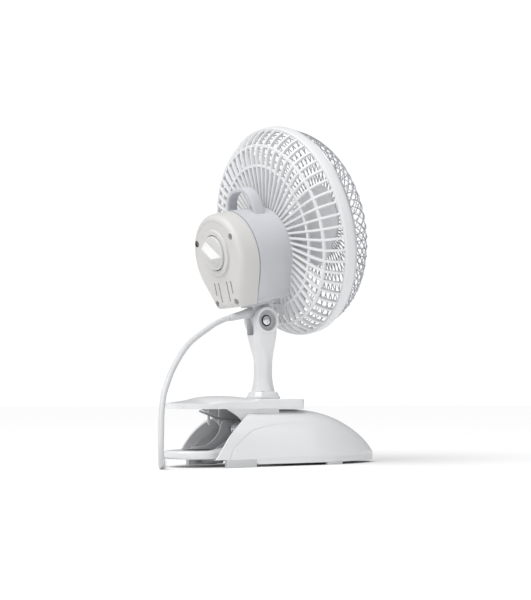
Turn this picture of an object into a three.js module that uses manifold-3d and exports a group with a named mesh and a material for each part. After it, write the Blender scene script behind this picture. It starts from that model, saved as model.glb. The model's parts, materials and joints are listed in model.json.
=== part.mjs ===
// Small clip-on desk fan with a spring clamp base.  Millimetres, +X is the way
// the air blows, +Y is the fan's left, +Z is up, and the floor is at z = 0.
import * as THREE from 'three';
import { mergeVertices } from 'three/addons/utils/BufferGeometryUtils.js';
import Module from 'manifold-3d';

const wasm = await Module();
wasm.setup();

// ---------------------------------------------------------------- dimensions
const GAP = 0.3;                 // play between touching pieces
const SHIFT_X = -13;             // puts the middle of the footprint on x = 0

// head, drawn level with the tilt pin at the origin, then tilted up
const PIVOT = [-0.2, 0, 121];    // tilt pin
const TILT = 14.5;               // degrees nose-up
const AXIS = 69.8;               // fan axis above the tilt pin
const RIM_X = 47.6;              // front plane of the plastic rim
const RIM_R = 91;
const GRILLE_X = RIM_X - 26.4;   // rear face of the back grille
const SEAM_X = -12.4;            // split between housing and rear cover
const REAR_X = -30.4;            // rear face of the cover
const CASE_Z = AXIS - 10;        // middle of the round part of the housing
const CASE_R = 37.3;
const CASE_FRONT_R = 35.5;
const FOOT_Z = 16.6;             // flat underside of the housing
const FOOT_W = 19;               // half width of that underside
const WALL = 2.2;
const RIBS = 56;
const RIB_T = 1.9;
const RIB_D = 3.4;
const WIRES = 14;                // wires in each winding direction of the guard
const WIRE_R = 0.75;
const BLADES = 3;
const BLADE_R = 78;
const KNOB_R = 14.3;
const KNOB_Z = CASE_Z + 5;       // height of the speed knob's axis
const BEZEL_R = 19.8;
const SCREW_YZ = [[27, AXIS + 5.5], [-27, AXIS + 5.5], [15, FOOT_Z + 5.4], [-15, FOOT_Z + 5.4]];

// neck
const EAR_R = 11.6;
const EAR_OUT = 10;              // outer face of each ear
const EAR_IN = 5;                // inner face of each ear
const POST_FOOT_Z = 61.2;
const COLLAR_Z = 55.3;
const POST_SCREW_X = 1.2;

// clamp
const LEVER_REAR = -90;
const LEVER_ROUND = -62;         // where the rounded end of both handles starts
const LEVER_W = 24;              // half width of both levers
const BLOCK_FRONT = 29;
const PLATE_LOW = 46.7;
const PLATE_TOP = 55;
const EDGE_TOP = 52.5;
const PIN = [-20, 30];           // clamp pin, x and z
const PIN_R = 2.4;
const WALL_OUT = 22.6;           // outer face of the upper lever's side walls
const LOW_OUT = 19.8;            // outer face of the lower lever's side walls
const LOW_BOTTOM = 6.7;
const LOW_TOP = 13.4;
const SKIRT = 4.5;
const SHELL = 2.2;
const FEET_Z = 2.2;              // underside of the dome above the floor
const CREST = [[-66, 46.3], [-20, 46.3], [12, 46.3], [30, 46.3], [42, 45], [54, 42.6], [66, 38.8],
  [78, 33.5], [90, 26.8], [101, 19.4], [110, 12.4], [116, 7]];
const PLAN = [[-66, 33.6], [-20, 33.8], [12, 33.8], [30, 33.6], [42, 33], [54, 31.8], [66, 29.8],
  [78, 26.8], [90, 22.4], [101, 16.6], [110, 10.2], [116, 4.2]];

// ------------------------------------------------------------------- helpers
const rad = (d) => d * Math.PI / 180;
const V = (x, y, z) => new THREE.Vector3(x, y, z);

function toSolid(geometry) {
  const g = geometry.clone();
  g.deleteAttribute('normal');
  g.deleteAttribute('uv');
  const m = mergeVertices(g, 1e-4);
  const p = m.attributes.position.array;
  const tris = [];
  for (let i = 0; i < m.index.count; i += 3) {
    const [a, b, c] = [m.index.getX(i), m.index.getX(i + 1), m.index.getX(i + 2)];
    if (a !== b && b !== c && a !== c) tris.push(a, b, c);
  }
  let volume = 0;
  for (let i = 0; i < tris.length; i += 3) {
    const [a, b, c] = tris.slice(i, i + 3).map((k) => V(p[3 * k], p[3 * k + 1], p[3 * k + 2]));
    volume += a.dot(b.cross(c));
  }
  if (volume < 0) for (let i = 0; i < tris.length; i += 3) [tris[i], tris[i + 1]] = [tris[i + 1], tris[i]];
  return new wasm.Manifold(new wasm.Mesh({
    numProp: 3, vertProperties: new Float32Array(p), triVerts: new Uint32Array(tris) }));
}

const shapeOf = (pts) => new THREE.Shape(pts.map(([u, v]) => new THREE.Vector2(u, v)));
const pull = (pts, depth) => new THREE.ExtrudeGeometry(shapeOf(pts), { depth, bevelEnabled: false });

function basis(geometry, x, y, z) {
  geometry.applyMatrix4(new THREE.Matrix4().makeBasis(x, y, z));
  return geometry;
}
// outline in (x, y), pulled from z0 up to z1
const plate = (pts, z0, z1) => toSolid(pull(pts, z1 - z0)).translate([0, 0, z0]);
// outline in (y, z), pulled from x0 to x1
const across = (pts, x0, x1) =>
  toSolid(basis(pull(pts, x1 - x0), V(0, 1, 0), V(0, 0, 1), V(1, 0, 0))).translate([x0, 0, 0]);
// outline in (x, z), pulled from y0 to y1
const slab = (pts, y0, y1) =>
  toSolid(basis(pull(pts, y1 - y0), V(1, 0, 0), V(0, 0, 1), V(0, -1, 0))).translate([0, y1, 0]);
function box(x0, x1, y0, y1, z0, z1) {
  const g = new THREE.BoxGeometry(x1 - x0, y1 - y0, z1 - z0);
  return toSolid(g).translate([(x0 + x1) / 2, (y0 + y1) / 2, (z0 + z1) / 2]);
}
// closed outline in (x, radius), spun about a line parallel to X at height z
function spin(profile, sides, y = 0, z = 0) {
  const pts = profile.map(([x, r]) => new THREE.Vector2(Math.max(r, 0), x));
  pts.push(pts[0].clone());
  const g = new THREE.LatheGeometry(pts, sides).rotateZ(-Math.PI / 2);
  return toSolid(g).translate([0, y, z]);
}
const rodX = (x0, x1, r, y, z, sides = 20) => spin([[x0, 0], [x0, r], [x1, r], [x1, 0]], sides, y, z);
const rodZ = (z0, z1, r, x, y, sides = 20) =>
  spin([[z0, 0], [z0, r], [z1, r], [z1, 0]], sides).rotate([0, -90, 0]).translate([x, y, 0]);
const rodY = (y0, y1, r, x, z, sides = 20) =>
  spin([[y0, 0], [y0, r], [y1, r], [y1, 0]], sides).rotate([0, 0, 90]).translate([x, 0, z]);
const ring = (n, r, a0 = 0) => Array.from({ length: n }, (_, i) => {
  const a = a0 + i * 2 * Math.PI / n;
  return [r * Math.cos(a), r * Math.sin(a)];
});
function sweep(points, section, steps, closed = false) {
  const path = new THREE.CatmullRomCurve3(points.map((p) => V(...p)), closed);
  return toSolid(new THREE.ExtrudeGeometry(shapeOf(section), { steps, extrudePath: path, bevelEnabled: false }));
}
function loft(sections) {
  const n = sections[0].length;
  const pos = sections.flat(2);
  const tris = [];
  for (let s = 0; s + 1 < sections.length; s += 1) {
    for (let i = 0; i < n; i += 1) {
      const [a, b] = [s * n + i, s * n + (i + 1) % n];
      tris.push(a, b, b + n, a, b + n, a + n);
    }
  }
  const last = (sections.length - 1) * n;
  for (let i = 1; i + 1 < n; i += 1) tris.push(0, i + 1, i, last, last + i, last + i + 1);
  const g = new THREE.BufferGeometry();
  g.setAttribute('position', new THREE.Float32BufferAttribute(pos, 3));
  g.setIndex(tris);
  return toSolid(g);
}
const sum = (list) => list.reduce((a, b) => a.add(b));

// ---------------------------------------------------------------- assembling
const object = new THREE.Group();
object.name = 'desk_clip_fan';

function put(name, solid, [color, roughness, metalness]) {
  const s = solid.translate([SHIFT_X, 0, 0]);
  const m = s.getMesh();
  const g = new THREE.BufferGeometry();
  g.setAttribute('position', new THREE.Float32BufferAttribute(m.vertProperties, 3));
  g.setIndex(Array.from(m.triVerts));
  g.computeVertexNormals();
  const mesh = new THREE.Mesh(g, new THREE.MeshStandardMaterial({ color, roughness, metalness }));
  mesh.name = name;
  object.add(mesh);
}
const inHead = (solid) => solid.rotate([0, -TILT, 0]).translate(PIVOT);
const head = (name, solid, look) => put(name, inHead(solid), look);

const WHITE = [0xf1f2f4, 0.28, 0];
const COVER = [0xdedcd9, 0.42, 0];
const GREY_CASE = [0xdcdfe5, 0.4, 0];
const STEEL = [0xb9bcc0, 0.3, 1];
const DARK_STEEL = [0x55585c, 0.38, 0.9];
const RUBBER = [0xd4d5d6, 0.8, 0];
const COPPER = [0xb5673a, 0.4, 0.8];
const BLACK = [0x2a2b2d, 0.55, 0];
const CORD = [0xd9dadd, 0.5, 0];

// -------------------------------------------------------------- motor housing
// round top that runs down to a narrower flat foot; inset moves it all inwards
function caseOutline(radius, inset = 0, footW = FOOT_W, arc = 20) {
  const [r, w, z0] = [radius - inset, footW - inset, FOOT_Z + inset];
  const reach = Math.hypot(w, z0 - CASE_Z);
  const start = Math.atan2(z0 - CASE_Z, w) + Math.acos(r / reach);
  const pts = [[-w, z0], [w, z0]];
  for (let i = 0; i <= arc; i += 1) {
    const a = start + (Math.PI - 2 * start) * i / arc;
    pts.push([r * Math.cos(a), CASE_Z + r * Math.sin(a)]);
  }
  return pts;
}
const at = (x, pts) => pts.map(([y, z]) => [x, y, z]);
const HOUSING_END = GRILLE_X - GAP;

const caseBody = loft([at(SEAM_X, caseOutline(CASE_R, 0, 17.5)),
  at(HOUSING_END, caseOutline(CASE_FRONT_R, 0, 17.5))])
  .add(box(SEAM_X, HOUSING_END, -FOOT_W - 1, FOOT_W + 1, FOOT_Z, FOOT_Z + 10.5));
const caseHollow = loft([at(SEAM_X - 1, caseOutline(CASE_R, WALL, 17.5)),
  at(HOUSING_END - WALL, caseOutline(CASE_FRONT_R, WALL, 17.5))]);
const bosses = sum(SCREW_YZ.map(([y, z]) => rodX(SEAM_X + 0.5, HOUSING_END - 1, 3.4, y, z, 14)));
const bossHoles = sum(SCREW_YZ.map(([y, z]) => rodX(SEAM_X - 1, SEAM_X + 15, 1.6, y, z, 12)));
head('motor_housing', caseBody.subtract(caseHollow).add(bosses).subtract(bossHoles)
  .subtract(rodX(HOUSING_END - 4, HOUSING_END + 1, 6.5, 0, AXIS, 24)), GREY_CASE);

const coverSides = new THREE.ExtrudeGeometry(shapeOf(caseOutline(CASE_R, 4)),
  { depth: 30, bevelThickness: 4, bevelSize: 4, bevelSegments: 3 });
const coverBody = toSolid(basis(coverSides, V(0, 1, 0), V(0, 0, 1), V(1, 0, 0)))
  .translate([REAR_X + 4, 0, 0])
  .subtract(box(SEAM_X - GAP, 60, -60, 60, 0, 130))
  .add(spin([[REAR_X - 1.5, 0], [REAR_X - 1.5, BEZEL_R - 1], [REAR_X - 0.4, BEZEL_R],
    [REAR_X + 1, BEZEL_R], [REAR_X + 1, 0]], 40, 0, KNOB_Z));
const coverHollow = across(caseOutline(CASE_R, WALL + 0.4), REAR_X + 3.4, SEAM_X + 1);
const coverBosses = sum(SCREW_YZ.map(([y, z]) => rodX(REAR_X + 2, SEAM_X - GAP, 3.9, y, z, 16)));
const coverDrill = sum(SCREW_YZ.map(([y, z]) => rodX(REAR_X - 1, REAR_X + 7, 2.9, y, z, 16)
  .add(rodX(REAR_X, SEAM_X + 1, 1.7, y, z, 12))));
const slots = sum([[-12.9, 10.5], [-6.4, 17], [6.4, 17], [12.9, 10.5]].map(([y, h]) =>
  box(REAR_X - 1, REAR_X + 5, y - 0.8, y + 0.8, FOOT_Z + 23 - h, FOOT_Z + 23)));
head('rear_cover', coverBody.subtract(coverHollow).add(coverBosses).subtract(coverDrill)
  .subtract(slots)
  .subtract(rodX(REAR_X - 3, REAR_X + 1.6, KNOB_R + 0.5, 0, KNOB_Z, 40))
  .subtract(rodX(REAR_X - 3, REAR_X + 5, 3.6, 0, KNOB_Z, 20)), COVER);

SCREW_YZ.forEach(([y, z], i) => head(`cover_screw_${i + 1}`,
  spin([[REAR_X + 5, 0], [REAR_X + 5, 2.4], [REAR_X + 6.9, 2.6], [REAR_X + 6.9, 1.35],
    [SEAM_X + 12, 1.35], [SEAM_X + 13.5, 0]], 12, y, z)
    .subtract(box(REAR_X + 4, REAR_X + 6, y - 1.8, y + 1.8, z - 0.35, z + 0.35)), STEEL));

// -------------------------------------------------------------- carry handle
const loop = (w, h, z0, n = 12) => Array.from({ length: n + 1 }, (_, i) => {
  const a = Math.PI * i / n;
  return [w * Math.cos(a), z0 + h * Math.sin(a) ** 0.8];
});
const HANDLE_FOOT = CASE_Z + 26;
const [HANDLE_OUT, HANDLE_IN] = [20.5, 17.7];
const handleBand = across([[HANDLE_OUT, HANDLE_FOOT - 4], ...loop(HANDLE_OUT, 26.5, HANDLE_FOOT),
  [-HANDLE_OUT, HANDLE_FOOT - 4]], 0.6, 9.4)
  .subtract(across([[HANDLE_IN, 40], ...loop(HANDLE_IN, 23.5, HANDLE_FOOT), [-HANDLE_IN, 40]], 0, 10))
  .subtract(loft([at(SEAM_X, caseOutline(CASE_R + GAP)), at(HOUSING_END, caseOutline(CASE_FRONT_R + GAP))]));
head('carry_handle', handleBand, GREY_CASE);

// ----------------------------------------------------------------- back grille
const ribProfile = [[0, 22], [0, 71], [5, 80.6], [17.4, 88.9],
  [17.6, 86.2], [8, 77.8], [RIB_D, 68.4], [RIB_D, 22]];
const rib = slab(ribProfile.map(([x, r]) => [GRILLE_X + x, r]), -RIB_T / 2, RIB_T / 2);
const ribs = Array.from({ length: RIBS }, (_, i) => rib.rotate([(i + 0.5) * 360 / RIBS, 0, 0]));
const grilleRings = [[60.5, 0.5], [77.2, 3.4]].map(([r, x]) =>
  spin([[GRILLE_X + x, r - 1.2], [GRILLE_X + x, r + 1.2], [GRILLE_X + x + 2, r + 1.2],
    [GRILLE_X + x + 2, r - 1.2]], RIBS));
const band = spin([[RIM_X - 9.6, RIM_R - 3], [RIM_X - 9.6, RIM_R - 0.6], [RIM_X - 5, RIM_R],
  [RIM_X - 0.6, RIM_R - 0.4], [RIM_X, RIM_R - 1.2], [RIM_X, RIM_R - 2.6], [RIM_X - 4, RIM_R - 3.2]], RIBS);
const hubPlate = across(caseOutline(CASE_FRONT_R - 0.4, 0, 17), GRILLE_X, GRILLE_X + 2.6)
  .subtract(rodX(GRILLE_X - 1, GRILLE_X + 4, 6.5, 0, AXIS, 24));
head('back_grille', sum([...ribs, ...grilleRings, band]).translate([0, 0, AXIS]).add(hubPlate), WHITE);

// ----------------------------------------------------------------- wire guard
const guardCurve = [[1.4, 88.2], [12, 85], [22.4, 77.4], [30, 60], [33.4, 40], [34.6, 21]];
const diamond = ring(4, WIRE_R, 0);
const TWIST = 34;
function wire(hand, k) {
  const turn = 360 * k / WIRES;
  return sweep(guardCurve.map(([x, r], i) => {
    const a = rad(turn + hand * TWIST * i / (guardCurve.length - 1));
    return [RIM_X + x, r * Math.cos(a), r * Math.sin(a)];
  }), diamond, 5);
}
const wires = [];
for (let k = 0; k < WIRES; k += 1) wires.push(wire(1, k), wire(-1, k));
const hoop = (x, r, t, sides = 40) => spin([[RIM_X + x - t, r], [RIM_X + x, r - t], [RIM_X + x + t, r],
  [RIM_X + x, r + t]], sides);
head('front_guard', sum([...wires, hoop(1.6, 88.2, 1.3), hoop(34.6, 20.4, 1.1, 24)])
  .translate([0, 0, AXIS]), DARK_STEEL);
head('guard_badge', spin([[RIM_X + 36.2, 0], [RIM_X + 36.2, 19], [RIM_X + 37.4, 21.4], [RIM_X + 38.8, 20],
  [RIM_X + 39.6, 12], [RIM_X + 39.6, 0]], 36, 0, AXIS), WHITE);

// ------------------------------------------------------------------ fan blade
function bladeSection(r) {
  const t = (r - 15) / (BLADE_R - 15);
  const pitch = rad(38 - 19 * t);
  const half = 12 + 27 * Math.sin(Math.PI * (0.16 + 0.62 * t));
  const pts = [];
  const n = 5;
  for (const side of [1, -1]) {
    for (let i = 0; i <= n; i += 1) {
      const u = side * (1 - 2 * i / n);
      const bow = 3.4 * (1 - u * u);
      const x = u * half * Math.sin(pitch) * 0.62 + bow + side * 0.75;
      const a = u * half * Math.cos(pitch) / r + 0.12 * t;
      pts.push([RIM_X - 8 + x, r * Math.sin(a), r * Math.cos(a)]);
    }
  }
  return pts;
}
const bladeSolid = loft([14, 24, 36, 48, 60, 70, 76, BLADE_R].map(bladeSection));
const hub = spin([[RIM_X - 19, 0], [RIM_X - 19, 17], [RIM_X - 1, 15.5], [RIM_X + 2, 12], [RIM_X + 2.4, 0]], 30);
const bore = rodX(RIM_X - 22, RIM_X - 6, 2.3, 0, 0, 16);
head('fan_blade', sum([hub, ...Array.from({ length: BLADES }, (_, i) =>
  bladeSolid.rotate([360 * i / BLADES + 96, 0, 0]))]).subtract(bore).translate([0, 0, AXIS]), WHITE);

// ---------------------------------------------------------------------- motor
const CORE_X = [-6, 8];
head('stator_core', box(...CORE_X, -15, 15, AXIS - 41, AXIS + 15)
  .subtract(rodX(CORE_X[0] - 1, CORE_X[1] + 1, 11.4, 0, AXIS, 28))
  .subtract(box(CORE_X[0] - 1, CORE_X[1] + 1, -7.5, 7.5, AXIS - 33.5, AXIS - 15.5)), DARK_STEEL);
head('stator_coil', box(CORE_X[0] - 6, CORE_X[1] + 6, -7.1, 7.1, AXIS - 33.1, AXIS - 29)
  .add(box(CORE_X[0] - 6, CORE_X[0] - GAP, -7.1, 7.1, AXIS - 45, AXIS - 29))
  .add(box(CORE_X[1] + GAP, CORE_X[1] + 6, -7.1, 7.1, AXIS - 45, AXIS - 29))
  .add(box(CORE_X[0] - 6, CORE_X[1] + 6, -7.1, 7.1, AXIS - 45, AXIS - 41.3)), COPPER);
head('rotor_core', spin([[CORE_X[0] - 1, 2.3], [CORE_X[0] - 1, 10.9], [CORE_X[1] + 1, 10.9],
  [CORE_X[1] + 1, 2.3]], 28, 0, AXIS), STEEL);
head('rotor_shaft', spin([[-15, 0], [-15, 2], [RIM_X - 6.5, 2], [RIM_X - 6.5, 0]], 16, 0, AXIS), STEEL);
[['front', CORE_X[1] + GAP, 1], ['rear', CORE_X[0] - GAP, -1]].forEach(([side, x, d]) => {
  const s = (a, b) => (d > 0 ? [x + a, x + b] : [x - b, x - a]);
  const arm = box(...s(3, 5), -13, 13, AXIS - 5, AXIS + 5)
    .add(box(...s(0, 5), -14.6, -11.8, AXIS - 5, AXIS + 5))
    .add(box(...s(0, 5), 11.8, 14.6, AXIS - 5, AXIS + 5))
    .add(rodX(...s(3, 7.6), 5.4, 0, AXIS, 24))
    .subtract(rodX(...s(-1, 9), 3.9, 0, AXIS, 20));
  head(`motor_bracket_${side}`, arm, STEEL);
  head(`bearing_${side}`, spin([[s(3.4, 7.4)[0], 2.3], [s(3.4, 7.4)[0], 3.6], [s(3.4, 7.4)[1], 3.6],
    [s(3.4, 7.4)[1], 2.3]], 20, 0, AXIS), [0xa88a4e, 0.45, 0.8]);
});

// ---------------------------------------------------------------- speed switch
head('rotary_switch', box(REAR_X + 4, REAR_X + 13, -11, 11, KNOB_Z - 11, KNOB_Z + 6)
  .subtract(rodX(REAR_X + 3, REAR_X + 10, 3.3, 0, KNOB_Z, 20)), BLACK);
const knobCap = spin([[REAR_X + 1.3, 0], [REAR_X + 1.3, KNOB_R], [REAR_X - 2.6, KNOB_R],
  [REAR_X - 3.4, KNOB_R - 0.8], [REAR_X - 3.4, 0]], 40);
const grip = slab([[REAR_X - 3, -12.6], [REAR_X - 9.6, -8], [REAR_X - 9.6, 8], [REAR_X - 3, 12.6]], -4.2, 4.2);
const stem = rodX(REAR_X, REAR_X + 9, 3, 0, 0, 20);
head('speed_knob', sum([knobCap, grip.rotate([-50, 0, 0]), stem]).translate([0, 0, KNOB_Z]), WHITE);

// -------------------------------------------------------------- tilt knuckle
const TONGUE_R = 8.6;
const tongueEnd = Array.from({ length: 10 }, (_, i) => rad(180 + 20 * i))
  .map((a) => [TONGUE_R * Math.cos(a), TONGUE_R * Math.sin(a)]);
const knuckle = slab([...tongueEnd, [TONGUE_R, FOOT_Z - GAP], [-TONGUE_R, FOOT_Z - GAP]], -EAR_IN + GAP, EAR_IN - GAP)
  .add(box(-12, 12, -9, 9, FOOT_Z - 2.6, FOOT_Z - GAP))
  .subtract(rodY(-9, 9, 2.6, 0, 0, 20));
head('tilt_knuckle', knuckle, GREY_CASE);
const GLAND = [-TONGUE_R - GAP, 9.2];
const GLAND_L = 22;
head('cord_gland', spin([[0, 0], [0, 3.9], [-1.6, 4.3], [-2.4, 3.7], [-3.4, 4.2], [-4.2, 3.6], [-GLAND_L, 2.8],
  [-GLAND_L, 0]], 16).translate([GLAND[0], 0, GLAND[1]]), GREY_CASE);

// ----------------------------------------------------------------------- post
function postSection(z, halfX, halfY, cx = 0) {
  const c = Math.min(halfX, halfY) * 0.42;
  return [[halfX, -halfY + c], [halfX, halfY - c], [halfX - c, halfY], [-halfX + c, halfY],
    [-halfX, halfY - c], [-halfX, -halfY + c], [-halfX + c, -halfY], [halfX - c, -halfY]]
    .map(([x, y]) => [x + cx, y, z]);
}
const column = loft([postSection(POST_FOOT_Z, 9.2, 8.1, 1.3), postSection(67, 8.2, 6.8, 1.3),
  postSection(75, 7.5, 5.8, 1.3), postSection(84, 7.6, 5.9, 1.3), postSection(94, 8.9, 7, 0.9),
  postSection(102, 10.4, 8.2, 0.4), postSection(111.5, 11.6, 9.4, 0),
  postSection(PIVOT[2], EAR_R, EAR_OUT, PIVOT[0])]);
const ears = rodY(-EAR_OUT, EAR_OUT, EAR_R, PIVOT[0], PIVOT[2], 30);
const fork = column.add(ears)
  .subtract(box(-30, 20, -EAR_IN, EAR_IN, PIVOT[2] - 12.5, PIVOT[2] + 20))
  .subtract(rodY(-12, 12, 2.6, PIVOT[0], PIVOT[2], 20))
  .subtract(rodY(-12, -EAR_OUT + 2.6, 8.8, PIVOT[0], PIVOT[2], 30))
  .subtract(rodY(EAR_OUT - 2.8, 12, 4.6, PIVOT[0], PIVOT[2], 6))
  .subtract(rodZ(POST_FOOT_Z - 1, POST_FOOT_Z + 13, 1.5, POST_SCREW_X, 0, 14));
put('post', fork, WHITE);
put('post_collar', loft([postSection(COLLAR_Z, 13, 10.6, 1.5), postSection(COLLAR_Z + 1.6, 12.8, 10.4, 1.5),
  postSection(POST_FOOT_Z - GAP, 10.4, 9, 1.3)]).subtract(rodZ(50, 70, 2, POST_SCREW_X, 0, 16)), WHITE);
const bolt = spin([[-EAR_OUT + 0.9, 0], [-EAR_OUT + 0.9, 2.6], [-EAR_OUT + 1.2, 3.9], [-EAR_OUT + 2.3, 3.9],
  [-EAR_OUT + 2.3, 2.1], [EAR_OUT - 0.6, 2.1], [EAR_OUT - 0.6, 0]], 20)
  .subtract(box(-EAR_OUT - 1, -EAR_OUT + 1.9, -0.5, 0.5, -2.4, 2.4))
  .subtract(box(-EAR_OUT - 1, -EAR_OUT + 1.9, -2.4, 2.4, -0.5, 0.5));
put('tilt_bolt', bolt.rotate([0, 0, 90]).translate([PIVOT[0], 0, PIVOT[2]]), STEEL);
put('tilt_nut', rodY(EAR_OUT - 2.5, EAR_OUT - 0.3, 4.2, PIVOT[0], PIVOT[2], 6)
  .subtract(rodY(0, 12, 2.4, PIVOT[0], PIVOT[2], 16)), STEEL);
put('post_screw', spin([[41, 0], [41, 3.6], [43, 3.6], [43, 1.3], [POST_FOOT_Z + 11, 1.3],
  [POST_FOOT_Z + 12, 0]], 14).rotate([0, -90, 0]).translate([POST_SCREW_X, 0, 0]), STEEL);

// ---------------------------------------------------------------- upper lever
// top surface: crowned across, thinner edges with a shallow finger dip
function leverSection(x, width, edge, crown, low = PLATE_LOW, n = 6) {
  const pts = [[x, width, low]];
  for (let i = 0; i <= n; i += 1) {
    const u = 1 - 2 * i / n;
    pts.push([x, width * u, edge + (crown - edge) * (1 - u * u)]);
  }
  pts.push([x, -width, low]);
  return pts;
}
const endWidth = (x) => LEVER_W * Math.sqrt(1 - ((LEVER_ROUND - x) / (LEVER_ROUND - LEVER_REAR)) ** 2);
const ROUND_END = [-89, -87, -84, -80, -75, -69, LEVER_ROUND];
const upperBar = loft([leverSection(LEVER_REAR, 3, 51, 51.2),
  ...[[51, 51.6], [51, 51.9], [51, 52.4], [51.1, 53], [50.9, 53.7], [50.6, 54.6], [50.8, 56]].map(([edge, crown], i) =>
    leverSection(ROUND_END[i], endWidth(ROUND_END[i]), edge, crown)),
  leverSection(-54, LEVER_W, 51.6, 57), leverSection(-44, LEVER_W, 52.2, 57.4),
  leverSection(-30, LEVER_W, 52.4, 57),
  leverSection(-23, LEVER_W + 0.8, PLATE_TOP - 0.3, PLATE_TOP + 0.9),
  leverSection(-16, LEVER_W + 1, PLATE_TOP - 0.2, PLATE_TOP - 0.1),
  leverSection(-10, LEVER_W + 1, PLATE_TOP - 0.2, PLATE_TOP - 0.1)]);
const corner = (cx, cy, r, a0) => Array.from({ length: 5 }, (_, i) => {
  const a = rad(a0 + 22.5 * i);
  return [cx + r * Math.cos(a), cy + r * Math.sin(a)];
});
const W = LEVER_W + 1;
const block = plate([[-20, -W], ...corner(BLOCK_FRONT - 6, -W + 6, 6, -90), ...corner(BLOCK_FRONT - 6, W - 6, 6, 0),
  [-20, W]], PLATE_LOW, PLATE_TOP);
const cheek = (y0, y1) => slab([[-50, PLATE_LOW + 1], [-45, 45.2], [-38, 41.3], [-32.4, 36.4],
  [-27.8, 31.5], [-24.4, 26.4], [-21.8, 22.4], [-18.5, 20.4], [-15, 22.6], [-12, 28], [-9, 36], [-5.5, 42],
  [-1.5, 45.6], [2, PLATE_LOW + 1]], y0, y1).subtract(rodY(y0 - 1, y1 + 1, PIN_R + 0.1, ...PIN, 20));
put('upper_lever', upperBar.add(block).add(cheek(WALL_OUT - 2.4, WALL_OUT)).add(cheek(-WALL_OUT, -WALL_OUT + 2.4))
  .subtract(rodZ(40, 60, 2.1, POST_SCREW_X, 0, 16)), WHITE);

// ----------------------------------------------------------------- dome shell
function archSection(x, width, height, base, n = 18) {
  const pts = [[x, width, base]];
  for (let i = 0; i <= n; i += 1) {
    const a = Math.PI * i / n;
    const [c, s] = [Math.cos(a), Math.sin(a)];
    pts.push([x, width * Math.sign(c) * Math.abs(c) ** 0.66, base + SKIRT + (height - base - SKIRT) * s ** 0.72]);
  }
  pts.push([x, -width, base]);
  return pts;
}
const outer = loft(CREST.map(([x, z], i) => archSection(x, PLAN[i][1], z, FEET_Z)));
const inner = loft(CREST.map(([x, z], i) => {
  const end = x > 110 ? -1.6 : 0;
  return archSection(x + (i ? end : -1), Math.max(PLAN[i][1] - SHELL, 2.6), Math.max(z - SHELL, 5.4), FEET_Z - 1);
}));
const mouth = slab([[-80, -1], [-66, -1], [-66, FEET_Z + 2], [-62, 9], [-58, 15], [-53.5, 21.5], [-48, 28],
  [-41, 34.6], [-34, 39.6], [-26, 43.4], [-17, 46], [-17, 60], [-80, 60]], -50, 50);
put('dome_shell', outer.subtract(inner).subtract(mouth)
  .subtract(box(-60, 3, -WALL_OUT - GAP, WALL_OUT + GAP, 34, 60)), WHITE);

// ----------------------------------------------------------- feet under dome
[[-40, 14, 31.5, 1], [-40, 14, 31.5, -1], [53, 8, 29.9, 1], [53, 8, 29.9, -1]].forEach(([x, half, y, s], i) => {
  put(`dome_foot_${i + 1}`, box(x - half, x + half, s * y - 2.2, s * y + 2.2, 0, FEET_Z - 0.1), RUBBER);
});

// ---------------------------------------------------------------- lower lever
const lowPlan = [[LEVER_REAR, -3], [LEVER_REAR, 3], ...ROUND_END.map((x) => [x, endWidth(x)]),
  [-52, 22.6], [-44, LOW_OUT], [60, LOW_OUT], [80, 15], [92, 8],
  [92, -8], [80, -15], [60, -LOW_OUT], [-44, -LOW_OUT], [-52, -22.6],
  ...ROUND_END.map((x) => [x, -endWidth(x)]).reverse()];
const lowSide = [[-70, LOW_TOP - 1], [-60, 14], [-52, 15.4], [-44.4, 16.4], [-39, 19.2],
  [-33.9, 23.6], [-30.6, 28.4], [-29, 33], [-27.2, 36.6], [-22, 38.2], [-15.6, 36], [-12, 30], [-8, 22],
  [0, 16], [12, LOW_TOP - 1]];
const lowCheek = (y0, y1) => slab(lowSide, y0, y1).subtract(rodY(y0 - 1, y1 + 1, PIN_R + 0.25, ...PIN, 20));
put('lower_lever', plate(lowPlan, LOW_BOTTOM, LOW_BOTTOM + 3)
  .add(plate(lowPlan, LOW_BOTTOM, LOW_TOP).subtract(box(-74, 100, -LOW_OUT + 2.2, LOW_OUT - 2.2, LOW_BOTTOM + 2.4, 20)))
  .add(lowCheek(LOW_OUT - 2.2, LOW_OUT)).add(lowCheek(-LOW_OUT, -LOW_OUT + 2.2)), WHITE);
put('lower_jaw_pad', plate([[30, -15], [66, -15], [80, -9], [80, 9], [66, 15], [30, 15]], 4.2, LOW_BOTTOM - GAP), RUBBER);
[1, -1].forEach((s, i) => put(`lever_foot_${i + 1}`, box(-60, -42, s * 4.5 - 3.5, s * 4.5 + 3.5, 2.6, LOW_BOTTOM - GAP), RUBBER));

// -------------------------------------------------------------- pin and spring
put('clamp_pin', rodY(-WALL_OUT - 1, WALL_OUT + 1, PIN_R, ...PIN, 20), STEEL);
const TURNS = 6.5;
const coilPts = [];
for (let i = 0; i <= TURNS * 10; i += 1) {
  const a = rad(-90 + 36 * i);
  coilPts.push([PIN[0] + 5.6 * Math.cos(a), -8 + 16 * i / (TURNS * 10), PIN[1] + 5.6 * Math.sin(a)]);
}
coilPts.unshift([-56, -8, 10.6], [-40, -8, 19.4]);
coilPts.push([-40, 8, 39.4], [-56, 8, 45.1]);
put('clamp_spring', sweep(coilPts, ring(5, 0.9), 76), STEEL);

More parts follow.
